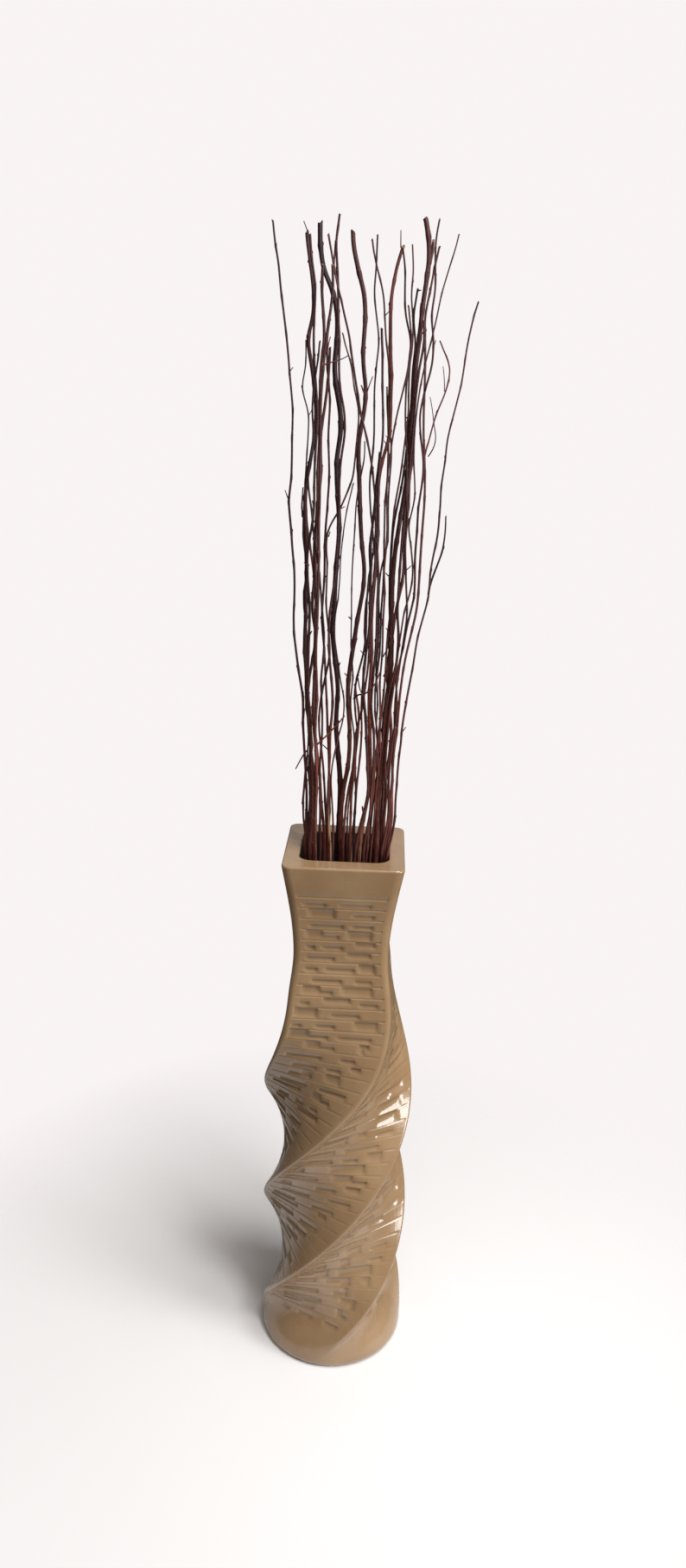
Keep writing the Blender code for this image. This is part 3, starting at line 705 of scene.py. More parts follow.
    def foot_share(self, heights: np.ndarray) -> np.ndarray:
        """How round the section is.

        Args:
            heights: Heights above the floor.

        Returns:
            1 at the round foot, 0 where the body is square.
        """
        return 1.0 - smoothstep(heights, *self.foot_blend)

    def rounded_foot(self, x: np.ndarray, y: np.ndarray, heights: np.ndarray,
                     radius: float) -> tuple[np.ndarray, np.ndarray]:
        """Draw the sections out to a circle near the floor.

        Args:
            x: The points' x.
            y: The points' y.
            heights: Height of each section.
            radius: Radius of the circle.

        Returns:
            The moved x and y.
        """
        reach = np.hypot(x, y)
        share = self.foot_share(heights)[:, None]
        factor = (reach * (1.0 - share) + radius * share) / reach
        return x * factor, y * factor

    def upright(self, heights: np.ndarray) -> np.ndarray:
        """How far the bars' ends slide along a turning face to stand upright in their row.

        Args:
            heights: Height of each section.

        Returns:
            The slide of each section, none on the lines between the rows.
        """
        place = (self.rows_top - heights) / self.row_pitch
        row = np.floor(place + 1e-6)
        middle = self.rows_top - self.row_pitch * (row + 0.5)
        on_line = (np.abs(place - np.round(place)) < 1e-3) | (row < 0) | (row >= self.rows)
        slide = self.half(heights) * (self.twist(heights) - self.twist(middle))
        return np.where(on_line, 0.0, slide)

    def shell_points(self, heights: np.ndarray, sunk: np.ndarray) -> np.ndarray:
        """The outside of the vase.

        Args:
            heights: Height of each section.
            sunk: How far each point is pressed in.

        Returns:
            Points by section and column.
        """
        low, high = self.ridge_round
        ridge = low + (high - low) * smoothstep(heights, *self.ridge_blend)
        slide = self.upright(heights)[:, None]
        x, y = self.outline(self.half(heights), ridge, self.twist(heights), sunk, slide)
        x, y = self.rounded_foot(x, y, heights, self.foot_radius)
        reach = np.hypot(x, y)
        drop = np.clip(1.0 - heights / self.foot_edge, 0.0, 1.0)
        cut = self.foot_edge * (1.0 - np.sqrt(1.0 - drop * drop))
        rise = np.clip(1.0 - (self.height - heights) / self.rim_round, 0.0, 1.0)
        cut = cut + self.rim_round * (1.0 - np.sqrt(1.0 - rise * rise))
        factor = (reach - cut[:, None]) / reach
        z = np.broadcast_to(heights[:, None], x.shape)
        return np.stack([x * factor, y * factor, z], axis=2)

    def cavity_points(self, heights: np.ndarray) -> np.ndarray:
        """The inside of the vase.

        Args:
            heights: Height of each section.

        Returns:
            Points by section and column.
        """
        near = smoothstep(heights, self.height - self.rim_depth, self.height)
        half = (self.half(heights) - self.wall) * (1.0 - near) + self.mouth_half * near
        corner = self.inner_corner + (self.mouth_corner - self.inner_corner) * near
        open_up = np.clip(1.0 - (self.height - heights) / self.lip_round, 0.0, 1.0)
        flare = self.lip_round * (1.0 - np.sqrt(1.0 - open_up * open_up))
        x, y = self.outline(half + flare, corner + flare, self.twist(heights))
        x, y = self.rounded_foot(x, y, heights, self.foot_radius - self.foot_wall_share * self.wall)
        y = y * (1.0 - self.mouth_squeeze * near)[:, None]
        z = np.broadcast_to(heights[:, None], x.shape)
        return np.stack([x, y, z], axis=2)

    def row_bars(self, face: int, row: int, chance: random.Random) -> tuple[Pressed, ...]:
        """Choose the pressed bars of one row of one face.

        Args:
            face: Number of the face, 0 at the front.
            row: Number of the row, from the top.
            chance: Source of the choices.

        Returns:
            The bars.
        """
        bars = []
        cell = chance.choice(self.bar_starts)
        while cell < self.joints - 4:
            length = chance.choice(self.bar_lengths)
            last = min(cell + length - 1, self.joints - 4)
            kind = chance.choices(list(Bar), self.bar_weights)[0]
            bars.append(Pressed(cell, last, kind))
            cell = last + 1 + chance.choice(self.bar_gaps)
        if face == 0 and row < len(FRONT_ROWS):
            return FRONT_ROWS[row]
        return tuple(bars)

    def pressed(self) -> tuple[np.ndarray, np.ndarray]:
        """Work out the relief of the rows.

        Returns:
            The heights of the rows' sections, falling, and how far each of their
            points is pressed in.
        """
        chance = random.Random(self.seed)
        width = self.around // 4
        levels = len(self.row_shares)
        heights = np.array([self.rows_top - self.row_pitch * (row + share)
                            for row in range(self.rows) for share in self.row_shares])
        sunk = np.zeros((len(heights), self.around))
        in_field = self.column == Column.JOINT
        for row in range(self.rows):
            first = row * levels
            faint = row >= len(FRONT_ROWS)
            sunk[first, in_field] = self.line_depth * (self.faint_lines if faint else 1.0)
            for face in range(4):
                start = face * width + 2
                for bar in self.row_bars(face, row, chance):
                    depth = chance.uniform(*self.bar_depth) * (self.faint_bars if faint else 1.0)
                    middle = (bar.first + bar.last) // 2
                    parts = ((bar.first, middle, bar.kind.value[0]),
                             (middle + 1, bar.last, bar.kind.value[1]))
                    for low, high, bands in parts:
                        columns = slice(start + 2 * low + 1, start + 2 * (high + 1) + 1)
                        for taken, lines in zip(bands, self.band_lines):
                            for line in lines if taken else ():
                                sunk[first + line, columns] = depth
        return heights, sunk

    def outer_sections(self) -> tuple[np.ndarray, np.ndarray]:
        """Heights and relief of every outside section, from the floor up.

        Returns:
            The heights and how far each point is pressed in.
        """
        heights, sunk = self.pressed()
        heights, sunk = heights[::-1], sunk[::-1]
        foot = self.foot_edge * (1.0 - np.cos(np.radians(np.linspace(0.0, 90.0, 9))))
        above_foot = np.linspace(self.foot_edge, heights[0], 9)[1:-1]
        neck = np.linspace(heights[-1], self.height - self.rim_round, 12)[1:-1]
        rim = self.height - self.rim_round * (1.0 - np.sin(np.radians(np.linspace(0.0, 90.0, 6))))
        below = np.concatenate((foot, above_foot))
        above = np.concatenate((neck, rim))
        relief = np.pad(sunk, ((len(below), len(above)), (0, 0)))
        return np.concatenate((below, heights, above)), relief

    def build(self) -> bpy.types.Object:
        """Make the vase's mesh.

        Returns:
            The vase.
        """
        heights, sunk = self.outer_sections()
        shell = self.shell_points(heights, sunk)
        lip = self.height - self.lip_round * (1.0 - np.sin(np.radians(np.linspace(90.0, 0.0, 6))))
        down = np.concatenate((lip, np.linspace(lip[-1], self.floor_top, 30)[1:]))
        cavity = self.cavity_points(down)
        inner, outer = self.ring_shares
        under_low = shell[0] * np.array([outer, outer, 1.0])
        under_in = shell[0] * np.array([inner, inner, 1.0]) + np.array([0.0, 0.0, self.ring_rise])
        sections = np.concatenate((under_in[None], under_low[None], shell, cavity))
        count = len(sections)
        n = self.around
        points = sections.reshape(-1, 3) * self.scale
        faces = band_faces(count, n)
        faces.append(tuple(reversed(range(n))))
        faces.append(tuple(range((count - 1) * n, count * n)))
        shell_rows = len(shell)
        # recess: how deep each point is pressed, which the glaze uses for painted shade in the bars
        recess = np.zeros((count, n))
        recess[2:2 + shell_rows] = np.clip(sunk / self.bar_depth[1], 0.0, 1.0)
        # inside: painted shade inside the mouth, full a few mm below the lip
        inside = np.zeros((count, n))
        depth = self.height - down
        inside[2 + shell_rows:] = smoothstep(depth, *self.mouth_shade)[:, None]
        bare = np.zeros((count, n))
        bare[:3] = 1.0
        made = MeshBin(("recess", "inside", "bare"))
        made.add(points, faces, recess=recess.ravel(), inside=inside.ravel(), bare=bare.ravel())
        return made.to_object("glazed_vase")

    def dress(self, piece: bpy.types.Object) -> None:
        """Glaze the vase and tie it to the frame.

        Args:
            piece: The vase.
        """
        piece.data.materials.append(self.glaze.make())
        soften = piece.modifiers.new("even_shading", "WEIGHTED_NORMAL")
        soften.weight = 50
        soften.keep_sharp = False
        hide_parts(self.node)
        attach(piece, BODY)


# ---- stems -----------------------------------------------------------------------

@dataclass
class Strand:
    """A stem or a branch of one, as centre points and half thicknesses from foot to tip."""

    centres: list[np.ndarray] = field(default_factory=list)
    radii: list[float] = field(default_factory=list)
    done: bool = False


@dataclass(frozen=True)
class Twig:
    """A fine side twig: its line in mm as (sideways, height), and its two thicknesses in mm."""

    line: tuple[tuple[float, float], ...]
    base: float = 1.3
    tip: float = 0.8
    in_front: bool = True

    def places(self) -> list[tuple[float, float]]:
        """The line in metres, drawn out upwards and sideways as the stems are.

        Returns:
            Sideways place and height of each point.
        """
        drawn = []
        for x, z in self.line:
            over = z * MM - RIM_HEIGHT
            rise = COURSE_STRETCH * over * (over - COURSE_STILL)
            drawn.append((COURSE_WIDEN * x * MM, z * MM + rise))
        return drawn


TWIGS: tuple[Twig, ...] = (
    Twig(((-29, 714), (-24, 720), (-17, 727), (-13, 733), (-10, 736), (-6, 742), (-3.5, 746)), 1.7, 1.2),
    Twig(((3.5, 755), (8, 760), (12.5, 765), (16.5, 767.5), (21, 772), (25, 779), (28, 787)), 1.6, 1.1),
    Twig(((7, 776), (9.5, 770), (12.5, 764)), 1.2, 0.9),
    Twig(((-39.5, 703), (-43, 699), (-47, 690), (-50, 684)), 1.4, 0.9, False),
    Twig(((-45.2, 636), (-43.8, 655), (-42.2, 685), (-43.6, 700), (-45.6, 714), (-44.2, 738)),
         1.2, 0.8, False),
    Twig(((18, 643), (16.3, 646), (15.8, 652)), 1.8, 1.3),
    Twig(((-11, 791), (-9, 797)), 1.3, 1.0),
    Twig(((-0.5, 833), (-2.5, 835), (-3.5, 836)), 1.3, 1.0),
    Twig(((-29, 1053), (-25, 1054.5), (-18, 1056.5), (-12, 1058), (-9, 1061)), 1.1, 0.7),
    Twig(((-27, 1062), (-26.5, 1068), (-24.5, 1075)), 1.0, 0.7),
    Twig(((31, 1145), (30.5, 1158)), 1.0, 0.7),
    Twig(((47.5, 1115), (49.5, 1115)), 1.1, 0.8),
    Twig(((62, 981), (66, 987), (68, 994), (67.5, 1000), (65, 1010), (64, 1018), (61, 1030)),
         1.1, 0.6, False),
    Twig(((75, 1035), (75, 1038), (74, 1048), (72.5, 1056)), 0.9, 0.6, False),
    Twig(((5, 1028), (8, 1038), (11, 1046)), 1.1, 0.8, False),
    Twig(((-37, 928), (-36.5, 935), (-38, 941)), 1.1, 0.8, False),
    Twig(((-24, 907), (-22.5, 912)), 1.1, 0.8, False),
    Twig(((-43.3, 1148), (-46, 1155), (-49, 1162)), 1.0, 0.7, False),
    Twig(((31, 781), (33.5, 786), (37, 793)), 1.2, 0.8),
    Twig(((30, 800), (33, 806), (36, 815)), 1.1, 0.8),
    Twig(((37, 812), (35, 819), (31.5, 828)), 1.1, 0.7),
)


class StemTracer:
    """Follows a plain stem solid upwards and finds its centre line and thickness."""

    SAME_POINT = 5.0e-6     # points this near are one
    OFF_POINTS = 3.1e-6     # cuts are made this far above round heights, so that they miss points
    END_GAP = 0.001         # the first and last cuts stay this far inside the solid

    def __init__(self, node: str, step: float = 0.004, jump: float = 0.0045) -> None:
        """Read one node of the frame.

        Args:
            node: Name of the stem's node.
            step: Height between readings.
            jump: Furthest that a centre may move sideways between readings.
        """
        mesh = frame["nodes"][node].data
        self.step, self.jump = step, jump
        count = len(mesh.vertices)
        flat = np.zeros(3 * count)
        mesh.vertices.foreach_get("co", flat)
        points = flat.reshape(-1, 3)
        keys: dict[tuple[int, int, int], int] = {}
        weld = np.zeros(count, dtype=int)
        for i, point in enumerate(points):
            key = tuple(int(round(c / self.SAME_POINT)) for c in point)
            weld[i] = keys.setdefault(key, i)
        mesh.calc_loop_triangles()
        corners = np.zeros(3 * len(mesh.loop_triangles), dtype=np.int32)
        mesh.loop_triangles.foreach_get("vertices", corners)
        self.points = points
        self.corners = weld[corners.reshape(-1, 3)]
        self.low, self.high = float(points[:, 2].min()), float(points[:, 2].max())

    def loops(self, height: float) -> list[tuple[np.ndarray, float]]:
        """Cut the solid level.

        Args:
            height: Height of the cut.

        Returns:
            The centre and half thickness of each closed outline.
        """
        above = self.points[:, 2] > height
        sides = above[self.corners]
        crossing = self.corners[sides.any(axis=1) & ~sides.all(axis=1)]
        parent: dict[tuple[int, int], tuple[int, int]] = {}

        def top(key: tuple[int, int]) -> tuple[int, int]:
            """Find the head of a crossed edge's group.

            Args:
                key: The edge.

            Returns:
                The edge that stands for its group.
            """
            while parent[key] != key:
                parent[key] = parent[parent[key]]
                key = parent[key]
            return key

        for tri in crossing.tolist():
            crossed = []
            for a, b in ((tri[0], tri[1]), (tri[1], tri[2]), (tri[2], tri[0])):
                if above[a] != above[b]:
                    crossed.append((a, b) if a < b else (b, a))
            for key in crossed:
                parent.setdefault(key, key)
            parent[top(crossed[0])] = top(crossed[1])
        groups: dict[tuple[int, int], list[np.ndarray]] = {}
        for a, b in parent:
            p, q = self.points[a], self.points[b]
            where = p + (q - p) * ((height - p[2]) / (q[2] - p[2]))
            groups.setdefault(top((a, b)), []).append(where)
        found = []
        for group in groups.values():
            ring = np.array(group)
            centre = ring.mean(axis=0)
            found.append((centre, float(np.linalg.norm(ring - centre, axis=1).max())))
        return found

    def trace(self) -> list[Strand]:
        """Follow the solid from foot to tip.

        Returns:
            The stem, then each of its branches.
        """
        strands: list[Strand] = []
        count = int((self.high - self.low - 2.0 * self.END_GAP) / self.step)
        for height in self.low + self.END_GAP + self.step * np.arange(count + 1):
            found = self.loops(height + self.OFF_POINTS)
            taken: set[int] = set()
            for strand in [s for s in strands if not s.done]:
                last = strand.centres[-1]
                if len(strand.centres) > 1:
                    last = 2.0 * last - strand.centres[-2]
                gaps = [(float(np.hypot(*(c - last)[:2])), i) for i, (c, _) in enumerate(found)
                        if i not in taken]
                if gaps and min(gaps)[0] < self.jump:
                    best = min(gaps)[1]
                    taken.add(best)
                    strand.centres.append(found[best][0])
                    strand.radii.append(found[best][1])
                else:
                    strand.done = True
            for i, (centre, radius) in enumerate(found):
                if i in taken:
                    continue
                fresh = Strand()
                if strands:
                    live = [s for s in strands if len(s.centres) > 3]
                    near = min(live or strands, key=lambda s: float(np.hypot(*(s.centres[-1] - centre)[:2])))
                    fresh.centres.append(near.centres[-min(3, len(near.centres))])
                    fresh.radii.append(radius)
                fresh.centres.append(centre)
                fresh.radii.append(radius)
                strands.append(fresh)
        return [s for s in strands if len(s.centres) > 4]


@dataclass
class WillowStem:
    """One willow stem with its branches, leaf scars, buds, spurs and fine twigs."""

    number: int
    slot: str
    sides: int = 10
    rim: float = RIM_HEIGHT
    step_inside: float = 0.012
    step_above: float = 0.0026
    node_gap: tuple[float, float] = (0.020, 0.040)
    swelling: float = 0.20
    swelling_reach: float = 0.0030
    kink: float = 0.00120
    fullness: tuple[float, float] = (1.27, 1.13)
    slimming: tuple[float, float] = (0.60, 0.74)
    scraped: bool = False
    scrape_share: float = 0.9
    scrape_reach: tuple[float, float] = (0.610, 0.68)
    turn_step: float = 2.4
    thin_sides: int = 6
    bud_share: float = 0.62
    bud_length: tuple[float, float] = (0.0024, 0.0038)
    bud_wide: float = 0.0007
    bud_rises: tuple[float, ...] = (0.0, 0.25, 0.55, 0.8, 1.0)
    bud_offsets: tuple[float, ...] = (0.62, 0.98, 1.06, 1.02, 0.98)
    bud_widths: tuple[float, ...] = (0.7, 1.0, 0.85, 0.5, 0.12)
    bud_red: float = 0.55
    spur_share: float = 0.08
    spur_from: float = 0.63
    spur_length: tuple[float, float] = (0.002, 0.0050)
    spur_lean: tuple[float, float] = (0.7, 1.5)
    spur_wide: float = 0.0008
    spur_stations: int = 6
    spur_red: float = 0.4
    twig_step: float = 0.0025
    tones: tuple[float, float] = (-0.42, 0.36)
    red_low: float = 0.72
    red_high: float = 0.22
    red_fade: tuple[float, float] = (0.66, 0.86)
    twigs: list[tuple[Twig, np.ndarray]] = field(default_factory=list)

    def __post_init__(self) -> None:
        """Name the piece and read its line from the frame."""
        self.node = f"willow_stem_{self.number:02d}"
        self.chance = random.Random(500 + self.number)
        tracer = StemTracer(self.node)
        strands = tracer.trace()
        self.reach(strands[0], 0, tracer.low)
        self.reach(max(strands, key=lambda s: s.centres[-1][2]), -1, tracer.high)
        self.courses = [self.course(s) for s in strands]

    @staticmethod
    def reach(strand: Strand, end: int, height: float) -> None:
        """Carry one end of the readings straight on to a height.

        Args:
            strand: The readings.
            end: 0 for the foot, -1 for the tip.
            height: Where the end really is.
        """
        last, before = strand.centres[end], strand.centres[1 if end == 0 else -2]
        where = last + (last - before) * ((height - last[2]) / (last[2] - before[2]))
        at = 0 if end == 0 else len(strand.centres)
        strand.centres.insert(at, where)
        strand.radii.insert(at, strand.radii[end])

    def course(self, strand: Strand) -> tuple[np.ndarray, np.ndarray]:
        """Turn the readings of a solid into a smooth line.

        Args:
            strand: The readings.

        Returns:
            Centre points and half thicknesses, close together above the rim.
        """
        centres = np.array(strand.centres)
        z = centres[:, 2]
        x, y = blurred(centres[:, 0], 1.5), blurred(centres[:, 1], 1.5)
        radii = np.array(strand.radii)
        kept = radii < 1.25 * np.median(radii)
        slope, start = np.polyfit(z[kept], radii[kept], 1)
        even = np.clip(start + slope * z, 0.0004, None)
        low, high = z[0], z[-1]
        split = min(max(self.rim - 0.05, low), high)
        inside = np.arange(low, split, self.step_inside)
        above = np.linspace(split, high, max(4, int((high - split) / self.step_above)))
        at = np.concatenate((inside, above))
        line = np.stack([np.interp(at, z, x), np.interp(at, z, y), at], axis=1)
        return line, np.interp(at, z, even)

    def nodes_along(self, line: np.ndarray) -> list[float]:
        """Heights of the leaf scars above the rim.

        Args:
            line: Centre points.

        Returns:
            The heights.
        """
        heights = []
        z = max(self.rim + 0.004, line[0, 2] + 0.010)
        while z < line[-1, 2] - 0.008:
            heights.append(z)
            z += self.chance.uniform(*self.node_gap)
        return heights

    def tube(self, made: MeshBin, line: np.ndarray, radii: np.ndarray, sides: int, slant: float,
             warmth: np.ndarray, bare: np.ndarray | float = 0.0) -> None:
        """Add a tapering tube with a rough round section and cut ends.

        Args:
            made: Where to add it.
            line: Centre points.
            radii: Half thicknesses.
            sides: Faces around.
            slant: Slope of the cut at the tip.
            warmth: How red the bark is at each centre point.
            bare: How much of the bark is scraped off.
        """
        count = len(line)
        tangent = np.gradient(line, axis=0)
        tangent /= np.linalg.norm(tangent, axis=1)[:, None]
        first = np.cross(tangent, np.array([0.0, 1.0, 0.02]))
        first /= np.linalg.norm(first, axis=1)[:, None]
        second = np.cross(tangent, first)
        angle = np.arange(sides) * 2.0 * math.pi / sides
        shift = self.chance.uniform(0.0, 6.28)
        ripple = 1.0 + 0.05 * np.sin(2.0 * angle[None, :] + shift + 35.0 * line[:, 2:3])
        ripple = ripple + 0.035 * np.sin(3.0 * angle[None, :] - shift + 90.0 * line[:, 2:3])
        low, high = self.fullness
        full = low + (high - low) * smoothstep(line[:, 2:3], *self.slimming)
        size = radii[:, None] * ripple * full
        ring = (line[:, None, :] + size[:, :, None] * (np.cos(angle)[None, :, None] * first[:, None, :]
                + np.sin(angle)[None, :, None] * second[:, None, :]))
        ring[-1] += tangent[-1] * (slant * radii[-1] * np.cos(angle + shift))[:, None]
        drop = max(0.0, float(ring[-1, :, 2].max() - line[-1, 2]))
        ring[-1, :, 2] -= drop
        faces = band_faces(count, sides)
        points = ring.reshape(-1, 3)
        start = len(points)
        points = np.concatenate((points, ring[-1], ring[0]))
        faces.append(tuple(range(start, start + sides)))
        faces.append(tuple(reversed(range(start + sides, start + 2 * sides))))
        ends = 2 * sides
        warm = np.concatenate((np.repeat(warmth, sides), np.full(ends, warmth[-1])))
        scraped = np.broadcast_to(np.asarray(bare, dtype=float), (count,))
        scraped = np.concatenate((np.repeat(scraped, sides), np.zeros(ends)))
        cut = np.concatenate((np.zeros(start), np.full(ends, 0.35)))
        made.add(points, faces, warmth=warm, bare=scraped, cut=cut)

    def warmth_at(self, heights: np.ndarray) -> np.ndarray:
        """Redness of the bark, strongest just above the mouth.

        Args:
            heights: Heights above the floor.

        Returns:
            Numbers from 0 to about 1.
        """
        return self.red_low + (self.red_high - self.red_low) * smoothstep(heights, *self.red_fade)

    def bud(self, made: MeshBin, centre: np.ndarray, tangent: np.ndarray, radius: float,
            around: float) -> None:
        """Add a small pointed bud that hugs the stem.

        Args:
            made: Where to add it.
            centre: Centre of the stem at the leaf scar.
            tangent: Direction of the stem.
            radius: Half thickness of the stem there.
            around: Direction of the bud, as an angle round the stem.
        """
        side = np.array([math.cos(around), math.sin(around), 0.0])
        side -= tangent * float(side @ tangent)
        side /= np.linalg.norm(side)
        rise = np.array(self.bud_rises) * self.chance.uniform(*self.bud_length)
        off = radius * np.array(self.bud_offsets)
        line = centre + tangent * rise[:, None] + side * off[:, None]
        radii = min(self.bud_wide, 0.42 * radius + 0.0001) * np.array(self.bud_widths)
        self.tube(made, line, radii, self.thin_sides, 0.0, np.full(len(line), self.bud_red))

    def spur(self, made: MeshBin, centre: np.ndarray, tangent: np.ndarray, radius: float,
             around: float) -> None:
        """Add a short broken side twig.

        Args:
            made: Where to add it.
            centre: Centre of the stem where it leaves.
            tangent: Direction of the stem.
            radius: Half thickness of the stem there.
            around: Direction of the spur, as an angle round the stem.
        """
        side = np.array([math.cos(around), math.sin(around), 0.0])
        length = radius + self.chance.uniform(*self.spur_length)
        lean = self.chance.uniform(*self.spur_lean)
        stations = np.linspace(0.0, 1.0, self.spur_stations)
        line = (centre + side * (stations * length)[:, None]
                + tangent * (stations ** 1.3 * length * lean)[:, None])
        radii = min(self.spur_wide, 0.55 * radius) * (1.0 - 0.35 * stations)
        self.tube(made, line, radii, self.thin_sides, 0.5, np.full(len(line), self.spur_red))

    def fine_twig(self, made: MeshBin, twig: Twig, line: np.ndarray) -> None:
        """Add a fine twig along a settled line.

        Args:
            made: Where to add it.
            twig: Its thicknesses.
            line: Its centre points.
        """
        span = np.concatenate(([0.0], np.cumsum(np.linalg.norm(np.diff(line, axis=0), axis=1))))
        count = max(6, int(span[-1] / self.twig_step))
        at = np.linspace(0.0, span[-1], count)
        smooth = np.stack([blurred(np.interp(at, span, line[:, k]), 1.4) for k in range(3)], axis=1)
        radii = 0.5 * MM * np.linspace(twig.base, twig.tip, count)
        self.tube(made, smooth, radii, 7, 0.6, self.warmth_at(smooth[:, 2]))

    def build(self) -> bpy.types.Object:
        """Make the stem's mesh.

        Returns:
            The stem with all that grows on it.
        """
        made = MeshBin(("warmth", "bare", "cut"))
        for line, radii in self.courses:
            line, radii = line.copy(), radii.copy()
            scars = self.nodes_along(line)
            tone = self.chance.uniform(*self.tones)
            scrape = self.scrape_share if self.scraped else 0.0
            kinks = np.zeros((2, len(scars) + 2))
            for k in range(len(scars)):
                kinks[:, k + 1] = [self.chance.uniform(-1.0, 1.0), self.chance.uniform(-0.6, 0.6)]
            if scars:
                at = np.array([scars[0] - 0.03] + scars + [line[-1, 2]])
                for axis in range(2):
                    line[:, axis] += self.kink * np.interp(line[:, 2], at, kinks[axis])
            for z in scars:
                near = (line[:, 2] - z) / self.swelling_reach
                radii *= 1.0 + self.swelling * np.exp(-near * near)
            shade = self.warmth_at(line[:, 2])
            warmth = np.clip(shade + tone * (0.35 + 0.65 * shade / self.red_low), 0.0, 1.0)
            bare = scrape * (1.0 - smoothstep(line[:, 2], *self.scrape_reach))
            self.tube(made, line, radii, self.sides, self.chance.uniform(0.4, 1.4), warmth, bare)
            turn = self.chance.uniform(0.0, 6.28)
            tangent = np.gradient(line, axis=0)
            tangent /= np.linalg.norm(tangent, axis=1)[:, None]
            for z in scars:
                turn += self.turn_step
                k = int(np.clip(np.searchsorted(line[:, 2], z), 1, len(line) - 1))
                pick = self.chance.random()
                if pick < self.bud_share:
                    self.bud(made, line[k], tangent[k], radii[k], turn)
                elif pick < self.bud_share + self.spur_share and self.spur_from < z:
                    self.spur(made, line[k], tangent[k], radii[k], turn)
        for twig, line in self.twigs:
            self.fine_twig(made, twig, line)
        return made.to_object(f"bark_stem_{self.number:02d}")

    def dress(self, piece: bpy.types.Object, bark: bpy.types.Material) -> None:
        """Put the bark on the stem and tie it to the frame.

        Args:
            piece: The stem.
            bark: Its bark.
        """
        piece.data.materials.append(bark)
        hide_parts(self.node)
        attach(piece, BODY)


@dataclass
class WillowBunch:
    """All the stems, with the fine twigs shared out among them."""

    barks: dict[str, BarkFinish] = field(default_factory=lambda: {
        "bark_dark": BarkFinish("dark_willow_bark", (0.020, 0.008, 0.010), (0.115, 0.030, 0.021)),
        "bark_red": BarkFinish("red_willow_bark", (0.038, 0.013, 0.013), (0.225, 0.055, 0.034)),
    })
    scraped: tuple[int, ...] = (6, 21, 23, 34)
    depth_cost: float = 0.10
    past_tip: float = 0.002
    twig_gap: float = 0.0006
    front_gap: float = 0.0011

    def __post_init__(self) -> None:
        """Read every stem from the frame."""
        slots = {s["node"]: s["material_slot"] for s in frame["record"]["subparts"]}
        names = sorted(n for n in frame["nodes"] if n.startswith("willow_stem_"))
        self.stems = [WillowStem(int(n[-2:]), slots[n], scraped=int(n[-2:]) in self.scraped)
                      for n in names]
        self.share_twigs()

    def share_twigs(self) -> None:
        """Give every fine twig to the stem it grows from, and settle its depth."""
        for twig in TWIGS:
            places = twig.places()
            x0, z0 = places[0]
            best: tuple[float, WillowStem | None, float, float] = (1e9, None, 0.0, 0.0)
            for stem in self.stems:
                for line, radii in stem.courses:
                    if not line[0, 2] <= z0 <= line[-1, 2] + self.past_tip:
                        continue
                    x, y, radius = reading(line, radii, z0)
                    cost = abs(x - x0) + self.depth_cost * y
                    if cost < best[0]:
                        best = (cost, stem, y, radius)
            _, stem, root, radius = best
            line = []
            for k, (x, z) in enumerate(places):
                y = root - radius - self.twig_gap
                if twig.in_front:
                    y = min(y, self.front_at(x, z) - self.front_gap)
                line.append((x, root if k == 0 else y, z))
            stem.twigs.append((twig, np.array(line)))

    def front_at(self, x: float, z: float, reach: float = 0.005) -> float:
        """Depth of the front-most stem near a spot.

        Args:
            x: Sideways place.
            z: Height.
            reach: How near sideways a stem must be to count.

        Returns:
            The y of its front.
        """
        front = 1.0
        for stem in self.stems:
            for line, radii in stem.courses:
                if line[0, 2] <= z <= line[-1, 2]:
                    there, y, radius = reading(line, radii, z)
                    if abs(there - x) < reach:
                        front = min(front, y - radius)
        return front

    def build(self) -> list[bpy.types.Object]:
        """Make and dress every stem.

        Returns:
            The stems.
        """
        made = {slot: bark.make() for slot, bark in self.barks.items()}
        pieces = []
        for stem in self.stems:
            piece = stem.build()
            stem.dress(piece, made[stem.slot])
            pieces.append(piece)
        return pieces


# ---- studio ----------------------------------------------------------------------

@dataclass(frozen=True)
class SoftLight:
    """A rectangular soft light: where it stands, what it faces, its size and strength.

    A light that isn't mirrored brightens the object without showing in its glaze.
    """

    name: str
    place: tuple[float, float, float]
    aim: tuple[float, float, float]
    size: tuple[float, float]
    watts: float
    tint: tuple[float, float, float] = (1.0, 1.0, 1.0)
    mirrored: bool = True

    def make(self) -> bpy.types.Object:
        """Hang the light.

        Returns:
            The light.
        """
        data = bpy.data.lights.new(self.name, "AREA")
        data.shape = "RECTANGLE"
        data.size, data.size_y = self.size
        data.energy = self.watts
        data.color = self.tint
        lamp = bpy.data.objects.new(self.name, data)
        lamp.location = self.place
        lamp.visible_glossy = self.mirrored
        lamp.visible_camera = False
        away = Vector(self.place) - Vector(self.aim)
        lamp.rotation_euler = away.to_track_quat("Z", "Y").to_euler()
        bpy.context.scene.collection.objects.link(lamp)
        return lamp


